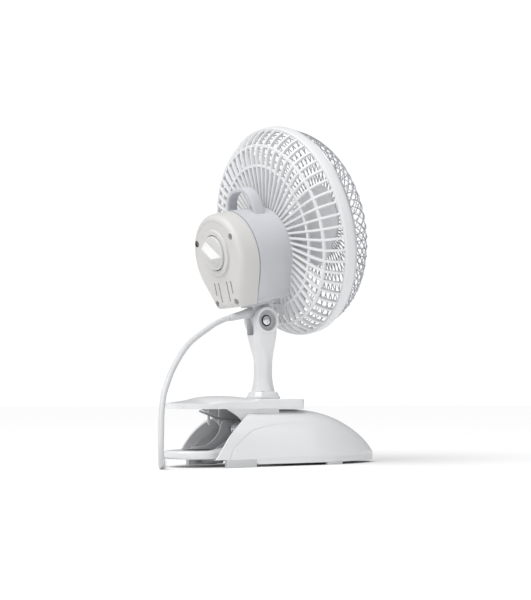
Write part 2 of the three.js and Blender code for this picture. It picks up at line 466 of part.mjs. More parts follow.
// ----------------------------------------------------------------------- cord
// hangs behind the handles, lands on the floor and runs off to a coil and the plug
const CORD_R = 2.35;
const FLOOR_RUN = CORD_R + 0.25;
const cosT = Math.cos(rad(TILT));
const sinT = Math.sin(rad(TILT));
const fromGland = (d) => [PIVOT[0] + (GLAND[0] - GLAND_L - d) * cosT - GLAND[1] * sinT, 0,
  PIVOT[2] + (GLAND[0] - GLAND_L - d) * sinT + GLAND[1] * cosT];
const route = [fromGland(GAP), fromGland(5), [-48.5, -2.4, 116.2], [-56, -4, 111.8],
  [-64.5, -6.5, 107], [-75.4, -9.5, 99.8], [-83.6, -12.5, 92.2], [-90.7, -15.5, 83.9], [-96.9, -18.5, 75.8],
  [-102.1, -21.5, 66.9], [-106.2, -24, 59], [-108.8, -26.2, 51], [-110.8, -28.5, 41.7], [-112.3, -31, 30.1],
  [-112.9, -32, 20], [-112, -30.6, 12], [-109.6, -26.4, 6], [-105.2, -18.4, 3], [-98.5, -5.4, FLOOR_RUN],
  [-84, 21.7, FLOOR_RUN], [-60.4, 66, FLOOR_RUN], [-39, 106, FLOOR_RUN], [-22, 138, FLOOR_RUN],
  [-5, 160, FLOOR_RUN], [18, 174, FLOOR_RUN], [48, 178.4, FLOOR_RUN], [92, 178.4, FLOOR_RUN]];
put('cord_run', sweep(route, ring(8, CORD_R, rad(22.5)), 52), CORD);
const COIL = [96, 142.3, 25.5];
const coilTube = [[-7.4, 2], [-5, 0.3], [5, 0.3], [7.4, 2], [7.4, 7.4], [5, 9.6], [-5, 9.6], [-7.4, 7.4]];
put('cord_coil', spin(coilTube.map(([r, z]) => [z, COIL[2] + r]), 28).rotate([0, -90, 0])
  .translate([COIL[0], COIL[1], 0]), CORD);
put('plug', box(130, 164, 166, 180, 0.3, 12.3)
  .add(rodX(163, 182, 2, 168.5, 6.3, 12)).add(rodX(163, 182, 2, 177.5, 6.3, 12)), WHITE);

export default object;
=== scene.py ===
"""A clip-on desk fan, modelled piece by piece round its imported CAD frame."""
import json
import math

import bpy
from bpy.props import FloatProperty, FloatVectorProperty, IntProperty, PointerProperty
from mathutils import Matrix, Vector


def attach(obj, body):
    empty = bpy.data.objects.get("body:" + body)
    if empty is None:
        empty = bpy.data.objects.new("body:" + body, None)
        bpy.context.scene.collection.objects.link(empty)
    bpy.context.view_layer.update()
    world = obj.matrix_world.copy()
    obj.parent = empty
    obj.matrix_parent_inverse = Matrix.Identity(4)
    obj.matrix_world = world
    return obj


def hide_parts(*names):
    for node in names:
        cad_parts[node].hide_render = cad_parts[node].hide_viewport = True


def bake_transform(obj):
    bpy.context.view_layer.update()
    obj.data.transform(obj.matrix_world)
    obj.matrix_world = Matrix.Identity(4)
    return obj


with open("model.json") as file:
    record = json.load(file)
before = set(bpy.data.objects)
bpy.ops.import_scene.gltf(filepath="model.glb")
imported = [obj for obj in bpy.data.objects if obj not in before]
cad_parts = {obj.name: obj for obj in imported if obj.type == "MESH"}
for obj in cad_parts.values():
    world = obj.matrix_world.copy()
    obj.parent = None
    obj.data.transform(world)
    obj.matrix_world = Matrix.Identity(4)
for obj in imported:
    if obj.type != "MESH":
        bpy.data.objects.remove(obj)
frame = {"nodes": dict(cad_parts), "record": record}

bl_info = {
    "name": "Clip-on desk fan",
    "version": (1, 0, 0),
    "blender": (4, 5, 0),
    "location": "View3D > Sidebar > Desk Fan",
    "description": "Builds the visual pieces of a small desk fan on a spring clamp",
    "category": "Add Mesh",
}

# Everything below is drawn in millimetres and scaled to metres when it is placed.
MM = 0.001
JOINTS = {j["name"]: j for j in frame["record"]["behaviour"]["joints"]}
PIVOT = Vector(JOINTS["head_tilt"]["pos_m"]) / MM
SPIN_AXIS = Vector(JOINTS["fan_spin"]["axis"])
TILT = math.atan2(SPIN_AXIS.z, SPIN_AXIS.x)
SHIFT = -13.0                                   # base drawing to row frame, along X
ON_FLOOR = Matrix.Scale(MM, 4) @ Matrix.Translation((SHIFT, 0, 0))
IN_HEAD = Matrix.Scale(MM, 4) @ Matrix.Translation(PIVOT) @ Matrix.Rotation(-TILT, 4, "Y")
PIN = (JOINTS["clamp_open"]["pos_m"][0] / MM - SHIFT, JOINTS["clamp_open"]["pos_m"][2] / MM)

AXIS = 69.8             # fan axis above the tilt pin
RIM_X = 47.6            # front plane of the grille's rim
GRILLE_X = RIM_X - 26.4
SEAM_X = -12.4          # housing meets rear cover
REAR_X = -30.4          # rear face of the cover
CASE_Z = AXIS - 10
CASE_R = 37.3
KNOB_Z = CASE_Z + 5      # axis of the speed knob
GRIP_TURN = -50          # degrees that the knob's grip leans at rest
FOOT_Z = 16.6
NECK_Z = PIVOT.z
NECK_X = PIVOT.x - SHIFT


# ------------------------------------------------------------------ settings
def size(name, description, default, low=0.0):
    return FloatProperty(name=name, description=description, default=default, min=low,
                         subtype="DISTANCE", unit="LENGTH", precision=4)


def colour(name, description, default):
    return FloatVectorProperty(name=name, description=description, default=default, size=3,
                               min=0.0, max=1.0, subtype="COLOR")


class FanSizes(bpy.types.PropertyGroup):
    """Sizes of the fan that a user may want to change"""
    rib_count: IntProperty(name="Ribs", description="Ribs of the back grille", default=56, min=12)
    rib_width: size("Rib width", "Thickness of one grille rib", 0.0019)
    wire_count: IntProperty(name="Wires", description="Wires each way round the front guard",
                            default=56, min=8)
    wire_radius: size("Wire radius", "Radius of one guard wire", 0.00048)
    blade_count: IntProperty(name="Blades", description="Blades of the fan", default=3, min=2)
    blade_radius: size("Blade radius", "Tip radius of the fan blades", 0.078)
    knob_radius: size("Knob radius", "Radius of the speed knob", 0.0143)
    wall: size("Wall", "Wall of the moulded shells", 0.0022)
    cord_diameter: size("Cord diameter", "Diameter of the mains lead", 0.0047)


class FanColours(bpy.types.PropertyGroup):
    """Colours of the fan's finishes"""
    gloss_white: colour("Gloss white", "Dome, levers, post, grille and blades", (0.74, 0.745, 0.757))
    housing_grey: colour("Housing grey", "Motor housing and carry handle", (0.56, 0.57, 0.6))
    cover_grey: colour("Cover grey", "Rear cover of the motor", (0.6, 0.594, 0.585))
    cord_white: colour("Cord white", "Mains lead and its relief", (0.6, 0.605, 0.62))
    pad_grey: colour("Pad grey", "Soft feet and jaw pad", (0.55, 0.555, 0.56))
    wire_steel: colour("Wire steel", "Plated wire of the guard", (0.55, 0.56, 0.585))


def sizes():
    return bpy.context.scene.fan_sizes


def colours():
    return bpy.context.scene.fan_colours


# ----------------------------------------------------------- modelling by hand
def clear():
    if bpy.context.object and bpy.context.object.mode != "OBJECT":
        bpy.ops.object.mode_set(mode="OBJECT")
    bpy.ops.object.select_all(action="DESELECT")


def take(obj):
    clear()
    obj.select_set(True)
    bpy.context.view_layer.objects.active = obj
    return obj


def named(name):
    obj = bpy.context.active_object
    obj.name = name
    obj.data.name = name
    return obj


def edit(obj, mode="VERT"):
    take(obj)
    bpy.ops.object.mode_set(mode="EDIT")
    bpy.ops.mesh.select_mode(type=mode)
    bpy.ops.mesh.select_all(action="SELECT")


def done():
    bpy.ops.object.mode_set(mode="OBJECT")


def tidy_faces(obj, gap=0.002):
    edit(obj)
    bpy.ops.mesh.remove_doubles(threshold=gap)
    bpy.ops.mesh.normals_make_consistent(inside=False)
    done()
    return obj


def apply(obj, kind, **values):
    take(obj)
    modifier = obj.modifiers.new(kind.title(), kind)
    for key, value in values.items():
        setattr(modifier, key, value)
    bpy.ops.object.modifier_apply(modifier=modifier.name)
    return obj


def soften(obj, width, segments=2, angle=35):
    return apply(obj, "BEVEL", width=width, segments=segments, limit_method="ANGLE",
                 angle_limit=math.radians(angle), harden_normals=False, miter_outer="MITER_ARC")


def cut(obj, *cutters, operation="DIFFERENCE"):
    for cutter in cutters:
        apply(obj, "BOOLEAN", operation=operation, object=cutter, solver="EXACT")
        bpy.data.objects.remove(cutter, do_unlink=True)
    return obj


def join(obj, *others):
    take(obj)
    for other in others:
        other.select_set(True)
    bpy.ops.object.join()
    return obj


def outline(name, points, fill="NGON"):
    """A flat ring of points, set out from a circle."""
    clear()
    bpy.ops.mesh.primitive_circle_add(vertices=len(points), radius=1, fill_type=fill)
    obj = named(name)
    for vertex, point in zip(obj.data.vertices, points):
        vertex.co = point
    return obj


def pulled(name, points, along, bevel=0.0, segments=2):
    """A flat outline pulled out along one direction into a solid."""
    obj = outline(name, points)
    edit(obj, "FACE")
    bpy.ops.mesh.extrude_region_move(TRANSFORM_OT_translate={"value": along})
    bpy.ops.mesh.select_all(action="SELECT")
    bpy.ops.mesh.normals_make_consistent(inside=False)
    done()
    if bevel:
        soften(obj, bevel, segments)
    return obj


def spun(name, profile, steps, y=0.0, z=0.0, axis="X", x=0.0):
    """A closed profile of (along, radius) turned right round an axis along X or Y."""
    if axis == "X":
        points = [(x + a, y, z + r) for a, r in profile]
    else:
        points = [(x, y + a, z + r) for a, r in profile]
    obj = outline(name, points, fill="NOTHING")
    edit(obj)
    bpy.ops.mesh.spin(steps=steps, angle=math.tau, center=(x, y, z),
                      axis=(1, 0, 0) if axis == "X" else (0, 1, 0))
    done()
    return tidy_faces(obj)


def lofted(name, sections):
    """Rings with the same count of points, skinned from a grid and closed at both ends."""
    rows, around = len(sections), len(sections[0])
    clear()
    bpy.ops.mesh.primitive_grid_add(x_subdivisions=around, y_subdivisions=rows - 1, size=1)
    obj = named(name)
    for i, vertex in enumerate(obj.data.vertices):
        row, column = divmod(i, around + 1)
        vertex.co = sections[row][column % around]
    edit(obj)
    bpy.ops.mesh.remove_doubles(threshold=0.0005)
    bpy.ops.mesh.select_all(action="DESELECT")
    bpy.ops.mesh.select_mode(type="EDGE")
    bpy.ops.mesh.select_non_manifold()
    bpy.ops.mesh.fill_holes(sides=0)
    bpy.ops.mesh.select_all(action="SELECT")
    bpy.ops.mesh.normals_make_consistent(inside=False)
    done()
    return obj


def block(name, x0, x1, y0, y1, z0, z1, bevel=0.0, segments=3):
    clear()
    bpy.ops.mesh.primitive_cube_add(size=1, location=((x0 + x1) / 2, (y0 + y1) / 2, (z0 + z1) / 2),
                                    scale=(x1 - x0, y1 - y0, z1 - z0))
    obj = named(name)
    bpy.ops.object.transform_apply(location=True, rotation=True, scale=True)
    if bevel:
        soften(obj, bevel, segments)
    return obj


def rod(name, a0, a1, radius, y=0.0, z=0.0, axis="X", x=0.0, sides=48):
    return spun(name, [(a0, 0), (a0, radius), (a1, radius), (a1, 0)], sides, y, z, axis, x)


def turned_copies(obj, count, start=0.0):
    """Copies of a piece turned evenly round the X axis; the first one is used up."""
    copies = []
    for i in range(count):
        spot = obj.copy()
        spot.data = obj.data.copy()
        bpy.context.scene.collection.objects.link(spot)
        spot.data.transform(Matrix.Rotation(start + math.tau * i / count, 4, "X"))
        copies.append(spot)
    bpy.data.objects.remove(obj, do_unlink=True)
    return copies


def tube(name, points, radius, sides=12):
    """A round wire along a line of points, made a mesh."""
    curve = bpy.data.curves.new(name, "CURVE")
    curve.dimensions = "3D"
    curve.bevel_depth = radius
    curve.bevel_resolution = max(0, (sides - 4) // 2)
    curve.use_fill_caps = True
    spline = curve.splines.new("POLY")
    spline.points.add(len(points) - 1)
    for spot, point in zip(spline.points, points):
        spot.co = (*point, 1)
    obj = bpy.data.objects.new(name, curve)
    bpy.context.scene.collection.objects.link(obj)
    take(obj)
    bpy.ops.object.convert(target="MESH")
    return bpy.context.active_object


def through(points, per=6):
    """More points on a smooth line through the given ones (centripetal spline)."""
    p = [Vector(q) for q in points]
    p = [2 * p[0] - p[1]] + p + [2 * p[-1] - p[-2]]
    line = []
    for a, b, c, d in zip(p, p[1:], p[2:], p[3:]):
        t = [0.0]
        for u, v in ((a, b), (b, c), (c, d)):
            t.append(t[-1] + max((v - u).length, 1e-6) ** 0.5)
        for i in range(per):
            s = t[1] + (t[2] - t[1]) * i / per
            a1 = ((t[1] - s) * a + (s - t[0]) * b) / (t[1] - t[0])
            a2 = ((t[2] - s) * b + (s - t[1]) * c) / (t[2] - t[1])
            a3 = ((t[3] - s) * c + (s - t[2]) * d) / (t[3] - t[2])
            b1 = ((t[2] - s) * a1 + (s - t[0]) * a2) / (t[2] - t[0])
            b2 = ((t[3] - s) * a2 + (s - t[1]) * a3) / (t[3] - t[1])
            line.append(((t[2] - s) * b1 + (s - t[1]) * b2) / (t[2] - t[1]))
    return line + [p[-2]]


def finish_piece(obj, place, material, body, nodes=(), angle=32):
    """Puts a finished piece in the row frame, shades it, gives it its finish and body, and hides the frame parts
    it stands for.
    """
    take(obj)
    obj.matrix_world = place
    bpy.ops.object.transform_apply(location=True, rotation=True, scale=True)
    bpy.ops.object.shade_smooth_by_angle(angle=math.radians(angle))
    obj.data.materials.clear()
    obj.data.materials.append(material)
    if body:
        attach(obj, body)
    if nodes:
        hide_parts(*nodes)
    return obj


def smooth_table(table, x):
    """Cubic reading of a table that doesn't overshoot its values."""
    xs = [a for a, _ in table]
    ys = [b for _, b in table]
    if x <= xs[0]:
        return ys[0]
    if x >= xs[-1]:
        return ys[-1]
    k = max(i for i in range(len(xs) - 1) if xs[i] <= x)
    slopes = [(ys[i + 1] - ys[i]) / (xs[i + 1] - xs[i]) for i in range(len(xs) - 1)]

    def tangent(i):
        if i == 0:
            return slopes[0]
        if i == len(xs) - 1:
            return slopes[-1]
        a, b = slopes[i - 1], slopes[i]
        return 0.0 if a * b <= 0 else 2 * a * b / (a + b)

    h = xs[k + 1] - xs[k]
    t = (x - xs[k]) / h
    return ((2 * t ** 3 - 3 * t * t + 1) * ys[k] + (t ** 3 - 2 * t * t + t) * h * tangent(k)
            + (-2 * t ** 3 + 3 * t * t) * ys[k + 1] + (t ** 3 - t * t) * h * tangent(k + 1))


# ------------------------------------------------------------------ finishes
def surface_group():
    """Shared: broad tone drift, fine grain and light handling marks on a surface."""
    name = "Surface variation"
    if name in bpy.data.node_groups:
        return bpy.data.node_groups[name]
    group = bpy.data.node_groups.new(name, "ShaderNodeTree")
    face = group.interface
    for label, kind, value in (("Colour", "NodeSocketColor", (1, 1, 1, 1)),
                               ("Drift", "NodeSocketFloat", 0.03),
                               ("Drift Scale", "NodeSocketFloat", 18.0),
                               ("Grain Scale", "NodeSocketFloat", 2500.0),
                               ("Roughness", "NodeSocketFloat", 0.4),
                               ("Roughness Spread", "NodeSocketFloat", 0.08),
                               ("Stretch", "NodeSocketVector", (1, 1, 1))):
        face.new_socket(name=label, in_out="INPUT", socket_type=kind).default_value = value
    for label, kind in (("Colour", "NodeSocketColor"), ("Roughness", "NodeSocketFloat"),
                        ("Height", "NodeSocketFloat")):
        face.new_socket(name=label, in_out="OUTPUT", socket_type=kind)
    add = group.nodes.new
    link = group.links.new
    start, end = add("NodeGroupInput"), add("NodeGroupOutput")
    where, turn = add("ShaderNodeTexCoord"), add("ShaderNodeMapping")
    broad, fine, marks = (add("ShaderNodeTexNoise") for _ in range(3))
    link(where.outputs["Object"], turn.inputs["Vector"])
    link(start.outputs["Stretch"], turn.inputs["Scale"])
    for node, detail in ((broad, 4), (fine, 3), (marks, 6)):
        node.inputs["Detail"].default_value = detail
        link(turn.outputs["Vector"], node.inputs["Vector"])
    link(start.outputs["Drift Scale"], broad.inputs["Scale"])
    link(start.outputs["Grain Scale"], fine.inputs["Scale"])
    marks.inputs["Scale"].default_value = 160
    marks.inputs["Roughness"].default_value = 0.7

    def sum_of(operation, first, second):
        """A Math node; each input is a socket or a plain number."""
        node = add("ShaderNodeMath")
        node.operation = operation
        for place, value in enumerate((first, second)):
            if isinstance(value, float):
                node.inputs[place].default_value = value
            else:
                link(value, node.inputs[place])
        return node.outputs[0]

    centred = sum_of("SUBTRACT", broad.outputs["Fac"], 0.5)
    weight = sum_of("MULTIPLY", centred, start.outputs["Drift"])
    tone = add("ShaderNodeVectorMath")
    tone.operation = "SCALE"
    link(start.outputs["Colour"], tone.inputs[0])
    link(sum_of("ADD", weight, 1.0), tone.inputs["Scale"])
    spread = sum_of("SUBTRACT", marks.outputs["Fac"], 0.5)
    scaled = sum_of("MULTIPLY", spread, start.outputs["Roughness Spread"])
    total = sum_of("ADD", scaled, start.outputs["Roughness"])
    link(tone.outputs["Vector"], end.inputs["Colour"])
    link(total, end.inputs["Roughness"])
    link(fine.outputs["Fac"], end.inputs["Height"])
    return group


PLASTIC_IOR = 1.46


def finish(name, rgb, rough, spread=0.08, drift=0.03, grain=2500.0, depth=0.00002, metal=0.0,
           coat=0.0, coat_rough=0.1, drift_scale=18.0, stretch=(1, 1, 1)):
    """A moulded, plated or rubbed finish with its own grain and tone drift."""
    if name in bpy.data.materials:
        return bpy.data.materials[name]
    material = bpy.data.materials.new(name)
    material.use_nodes = True
    tree = material.node_tree
    shader = next(n for n in tree.nodes if n.type == "BSDF_PRINCIPLED")
    look = tree.nodes.new("ShaderNodeGroup")
    look.node_tree = surface_group()
    look.inputs["Colour"].default_value = (*rgb, 1)
    look.inputs["Drift"].default_value = drift
    look.inputs["Drift Scale"].default_value = drift_scale
    look.inputs["Grain Scale"].default_value = grain
    look.inputs["Roughness"].default_value = rough
    look.inputs["Roughness Spread"].default_value = spread
    look.inputs["Stretch"].default_value = stretch
    bump = tree.nodes.new("ShaderNodeBump")
    bump.inputs["Distance"].default_value = depth
    bump.inputs["Strength"].default_value = 0.6
    tree.links.new(look.outputs["Colour"], shader.inputs["Base Color"])
    tree.links.new(look.outputs["Roughness"], shader.inputs["Roughness"])
    tree.links.new(look.outputs["Height"], bump.inputs["Height"])
    tree.links.new(bump.outputs["Normal"], shader.inputs["Normal"])
    shader.inputs["Metallic"].default_value = metal
    shader.inputs["Coat Weight"].default_value = coat
    shader.inputs["Coat Roughness"].default_value = coat_rough
    shader.inputs["IOR"].default_value = PLASTIC_IOR
    return material


def gloss_white():
    return finish("gloss_white_plastic", colours().gloss_white, 0.2, 0.05, 0.02, 900, 0.00001, coat=0.35,
                  coat_rough=0.06)


def grille_white():
    return finish("grille_white_plastic", colours().gloss_white, 0.36, 0.07, 0.025, 1800, 0.00001)


# Mid grey painted shade for the floor of the recess round the tilt screw's head in the white post.
def recess_painted_shade():
    return finish("recess_painted_shade_plastic", (0.42, 0.425, 0.435), 0.36, 0.06, 0.02, 1500, 0.00001)


# Near-black painted shadow for the inside of the well round the tilt screw in the white post.
def well_painted_shadow():
    return finish("well_shadow_plastic", (0.1, 0.1, 0.105), 0.4, 0.06, 0.02, 1500, 0.00001)


def knob_white():
    return finish("knob_white_plastic", (0.62, 0.618, 0.612), 0.3, 0.05, 0.02, 1500, 0.00001)


def housing_grey():
    return finish("housing_grey_plastic", colours().housing_grey, 0.46, 0.08, 0.03, 3200, 0.00003)


def cover_grey():
    return finish("cover_grey_plastic", colours().cover_grey, 0.44, 0.06, 0.02, 3600, 0.00003)


def bright_steel():
    return finish("bright_steel", (0.72, 0.73, 0.75), 0.24, 0.12, 0.05, 1500, 0.00001, metal=1.0)


def wire_steel():
    return finish("guard_wire_plating", colours().wire_steel, 0.32, 0.14, 0.08, 1800, 0.00001, metal=0.55)


def pad_rubber():
    return finish("pad_rubber", colours().pad_grey, 0.78, 0.1, 0.06, 1400, 0.00006)


def cord_jacket():
    return finish("cord_jacket", colours().cord_white, 0.42, 0.08, 0.03, 1600, 0.00002)


def copper():
    return finish("winding_copper", (0.55, 0.22, 0.08), 0.38, 0.15, 0.12, 900, 0.00004, metal=0.9,
                  stretch=(1, 1, 6))


def bronze():
    return finish("bearing_bronze", (0.45, 0.32, 0.13), 0.42, 0.12, 0.1, 1500, 0.00003, metal=0.9)


def lamination():
    return finish("stator_lamination", (0.12, 0.125, 0.13), 0.4, 0.15, 0.1, 1400, 0.00004, metal=0.8,
                  stretch=(8, 1, 1))


def switch_black():
    return finish("switch_black", (0.025, 0.026, 0.028), 0.5, 0.1, 0.05, 1800, 0.00003)


# ------------------------------------------------------------- stage, camera
VIEW_FROM = Vector((-0.5654, -0.8551, 0.0512))
VIEW_DIR = Vector((0.5426, 0.84, 0.0))
CENTRE_RIGHT, CENTRE_UP = 0.00318, 0.08618      # slope of the view from level
LENS = 81.4
FLOOR_SIZE = 40                 # metres
WORLD_LIGHT, WORLD_SEEN = 0.42, 1.05
SUN_POWER, SUN_SPREAD = 2.45, 50
SUN_WAY = Vector((0.62, 0.22, -1.0))
MIDDLE = (0, 0, 0.12)           # what the soft lights point at


def area_light(name, at, target, width, height, power, tint=(1, 1, 1)):
    clear()
    bpy.ops.object.light_add(type="AREA", location=at)
    light = bpy.context.active_object
    light.name = name
    light.data.shape = "RECTANGLE"
    light.data.size, light.data.size_y = width, height
    light.data.energy = power
    light.data.color = tint
    light.rotation_euler = (Vector(target) - Vector(at)).to_track_quat("-Z", "Y").to_euler()
    return light


class FAN_OT_stage(bpy.types.Operator):
    """Lay the floor and set up the camera and the soft studio lights"""
    bl_idname = "desk_fan.stage"
    bl_label = "Stage, camera and lights"

    def execute(self, context):
        clear()
        bpy.ops.mesh.primitive_plane_add(size=FLOOR_SIZE, location=(0, 0, 0))
        floor = named("studio_floor")
        floor.data.materials.append(finish("floor_paint", (0.97, 0.97, 0.97), 0.7, 0.05, 0.004, 60,
                                           0.00001, drift_scale=3))
        right = VIEW_DIR.cross(Vector((0, 0, 1))).normalized()
        look = VIEW_DIR + CENTRE_RIGHT * right + Vector((0, 0, CENTRE_UP))
        clear()
        bpy.ops.object.camera_add(location=VIEW_FROM)
        camera = bpy.context.active_object
        camera.name = "studio_camera"
        camera.rotation_euler = look.to_track_quat("-Z", "Y").to_euler()
        camera.data.sensor_fit = "HORIZONTAL"
        camera.data.sensor_width = 36
        camera.data.lens = LENS
        camera.data.clip_start = 0.01
        camera.data.dof.use_dof = False
        context.scene.camera = camera
        world = bpy.data.worlds.new("studio_world")
        world.use_nodes = True
        back = world.node_tree.nodes["Background"]
        seen = world.node_tree.nodes.new("ShaderNodeLightPath")
        level = world.node_tree.nodes.new("ShaderNodeMapRange")
        level.inputs["To Min"].default_value = WORLD_LIGHT
        level.inputs["To Max"].default_value = WORLD_SEEN
        world.node_tree.links.new(seen.outputs["Is Camera Ray"], level.inputs["Value"])
        world.node_tree.links.new(level.outputs["Result"], back.inputs["Strength"])
        back.inputs["Color"].default_value = (1.0, 1.0, 1.0, 1)
        context.scene.world = world
        context.scene.view_settings.view_transform = "Standard"
        clear()
        bpy.ops.object.light_add(type="SUN", location=(-1, -0.5, 1.5))
        sun = bpy.context.active_object
        sun.name = "studio_key"
        sun.data.energy = SUN_POWER
        sun.data.angle = math.radians(SUN_SPREAD)
        sun.rotation_euler = SUN_WAY.to_track_quat("-Z", "Y").to_euler()
        area_light("key_softbox", (-1.4, -0.3, 1.3), MIDDLE, 0.9, 0.9, 3.2)
        area_light("side_strip", (0.9, -1.3, 0.6), MIDDLE, 0.25, 1.4, 1.4, (0.96, 0.98, 1))
        return {"FINISHED"}


# ----------------------------------------------------------------- mains lead
GLAND_REAR, GLAND_UP, GLAND_LENGTH = -8.9, 9.2, 22.0
COIL_MIDDLE = (96.0, 142.3)


def from_gland(d):
    x = GLAND_REAR - GLAND_LENGTH - d
    return (NECK_X + x * math.cos(TILT) - GLAND_UP * math.sin(TILT), 0,
            NECK_Z + x * math.sin(TILT) + GLAND_UP * math.cos(TILT))


ROUTE = [from_gland(0.3), from_gland(5), (-48.5, -2.4, 116.2), (-56, -4, 111.8), (-64.5, -6.5, 107),
         (-75.4, -9.5, 99.8), (-83.6, -12.5, 92.2), (-90.7, -15.5, 83.9), (-96.9, -18.5, 75.8),
         (-102.1, -21.5, 66.9), (-106.2, -24, 59), (-108.8, -26.2, 51), (-110.8, -28.5, 41.7),
         (-112.3, -31, 30.1), (-112.9, -32, 20), (-112, -30.6, 12), (-109.6, -26.4, 6), (-105.2, -18.4, 3),
         (-98.5, -5.4, 2.6), (-84, 21.7, 2.6), (-60.4, 66, 2.6), (-39, 106, 2.6), (-22, 138, 2.6),
         (-5, 160, 2.6), (18, 174, 2.6), (48, 178.4, 2.6), (86, 178.4, 2.6)]
# turn number against radius and height of the lead in its coil
COIL_RADIUS = [(0, 35.6), (0.3, 30.4), (0.76, 30.4), (1.0, 25.5), (1.76, 25.5), (2.0, 20.6), (3.33, 20.6),
               (3.57, 25.5), (4.33, 25.5), (4.57, 30.4), (5.0, 30.4)]
COIL_HEIGHT = [(0, 2.6), (2.58, 2.6), (2.85, 7.4), (5.0, 7.4)]
PLUG_END = [(108, 172.9, 7.6), (119, 173, 7.2), (130, 173, 6.3)]


def eased(table, t):
    for (t0, v0), (t1, v1) in zip(table, table[1:]):
        if t <= t1:
            u = (t - t0) / (t1 - t0)
            return v0 + (v1 - v0) * u * u * (3 - 2 * u)
    return table[-1][1]


def coil_points(per_turn=24, turns=5):
    points = []
    for i in range(1, per_turn * turns + 1):
        turn = i / per_turn
        angle = math.pi / 2 - math.tau * turn
        r = eased(COIL_RADIUS, turn)
        points.append((COIL_MIDDLE[0] + r * math.cos(angle), COIL_MIDDLE[1] + r * math.sin(angle),
                       eased(COIL_HEIGHT, turn)))
    return points


class FAN_OT_lead(bpy.types.Operator):
    """Mains lead from the neck to its coil, with the moulded plug"""
    bl_idname = "desk_fan.lead"
    bl_label = "Mains lead and plug"

    def execute(self, context):
        radius = sizes().cord_diameter / MM / 2
        line = through([*ROUTE, *coil_points(), *PLUG_END], per=4)
        lead = tube("mains_lead", line, radius, 12)
        tidy_faces(lead, 0.01)
        finish_piece(lead, ON_FLOOR, cord_jacket(), None, ("cord_run", "cord_coil"), 60)
        body = pulled("mains_plug", [(133, 166.6, 0.7), (133, 179.4, 0.7), (154, 179.8, 0.5), (164, 180, 0.4),
                                     (164, 166, 0.4), (154, 166.2, 0.5)], (0, 0, 11.4), 2.2, 5)
        relief = spun("relief", [(0, 0), (0, 2.5), (4, 3.3), (4.8, 2.9), (5.6, 3.6), (6.4, 3.1), (7.2, 3.9),
                                 (8, 3.4), (9, 4.6), (12, 4.8), (12, 0)], 32, 173, 6.3, x=125.5)
        pins = [block("pin", 163.5, 182, 173 + s * 4.5 - 0.8, 173 + s * 4.5 + 0.8, 3.1, 9.5, 0.35)
                for s in (1, -1)]
        plug = join(body, relief, *pins)
        finish_piece(plug, ON_FLOOR, cord_jacket(), "base", ("plug",), 40)
        plug.data.materials.append(bright_steel())
        for face in plug.data.polygons:
            if face.center.x > (164.2 + SHIFT) * MM:
                face.material_index = 1
        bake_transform(lead)
        return {"FINISHED"}


# ------------------------------------------------------------------ the dome
CREST = [(-66, 46.3), (12, 46.3), (30, 46.3), (42, 45), (54, 42.6), (66, 38.8), (78, 33.5), (90, 26.8),
         (101, 19.4), (110, 12.2), (113.6, 9.2), (115.4, 7.2), (116, 5.4)]
PLAN = [(-66, 33.6), (-20, 33.8), (12, 33.8), (30, 33.6), (42, 33), (54, 31.8), (66, 29.8), (78, 26.8),
        (90, 22.4), (101, 16.6), (110, 9.8), (113.6, 6.2), (115.4, 3.2), (116, 0.4)]
MOUTH = [(4.2, -66), (9, -62), (15, -58), (21.5, -53.5), (28, -48), (34.6, -41), (39.6, -34), (43.4, -26),
         (46, -17), (46.4, -14)]
CREASE = [(3, -51.5), (5.6, -51), (14, -48.6), (21.2, -40.8), (27.4, -32.6), (30.8, -25.4), (32.3, -18.2),
          (34.2, -5.2), (35.2, 7.8), (36.2, 15.3), (37.4, 24)]
ARCH_WIDE, ARCH_TALL = 0.58, 0.6        # how full the shoulders of the arch are
REAR_LIFT, REAR_LIFT_X = 4.2, -25.0     # the lower edge steps up behind this
BAND_DEPTH = 0.6                        # recessed strip along the foot of the skirt
DOME_BASE, DOME_SKIRT = 2.2, 4.5
DOME_TOP, DOME_WIDE, DOME_FRONT = 46.3, 33.8, 116
CUT_Y, CUT_X = 22.9, 3.0


def arch_points(count=64):
    """Even steps round the arch: (sign, share of width, share of height), feet to feet."""
    fine, steps = [], 1500
    for i in range(steps + 1):
        a = math.pi * i / steps
        fine.append((math.copysign(abs(math.cos(a)) ** ARCH_WIDE, math.cos(a)),
                     max(0.0, math.sin(a)) ** ARCH_TALL))
    run = [0.0]
    for p, q in zip(fine, fine[1:]):
        run.append(run[-1] + math.hypot((q[0] - p[0]) * DOME_WIDE, (q[1] - p[1]) * 39.6))
    picked, k = [], 0
    for i in range(count + 1):
        goal = run[-1] * i / count
        while k < steps and run[k] < goal:
            k += 1
        picked.append(fine[k])
    return picked


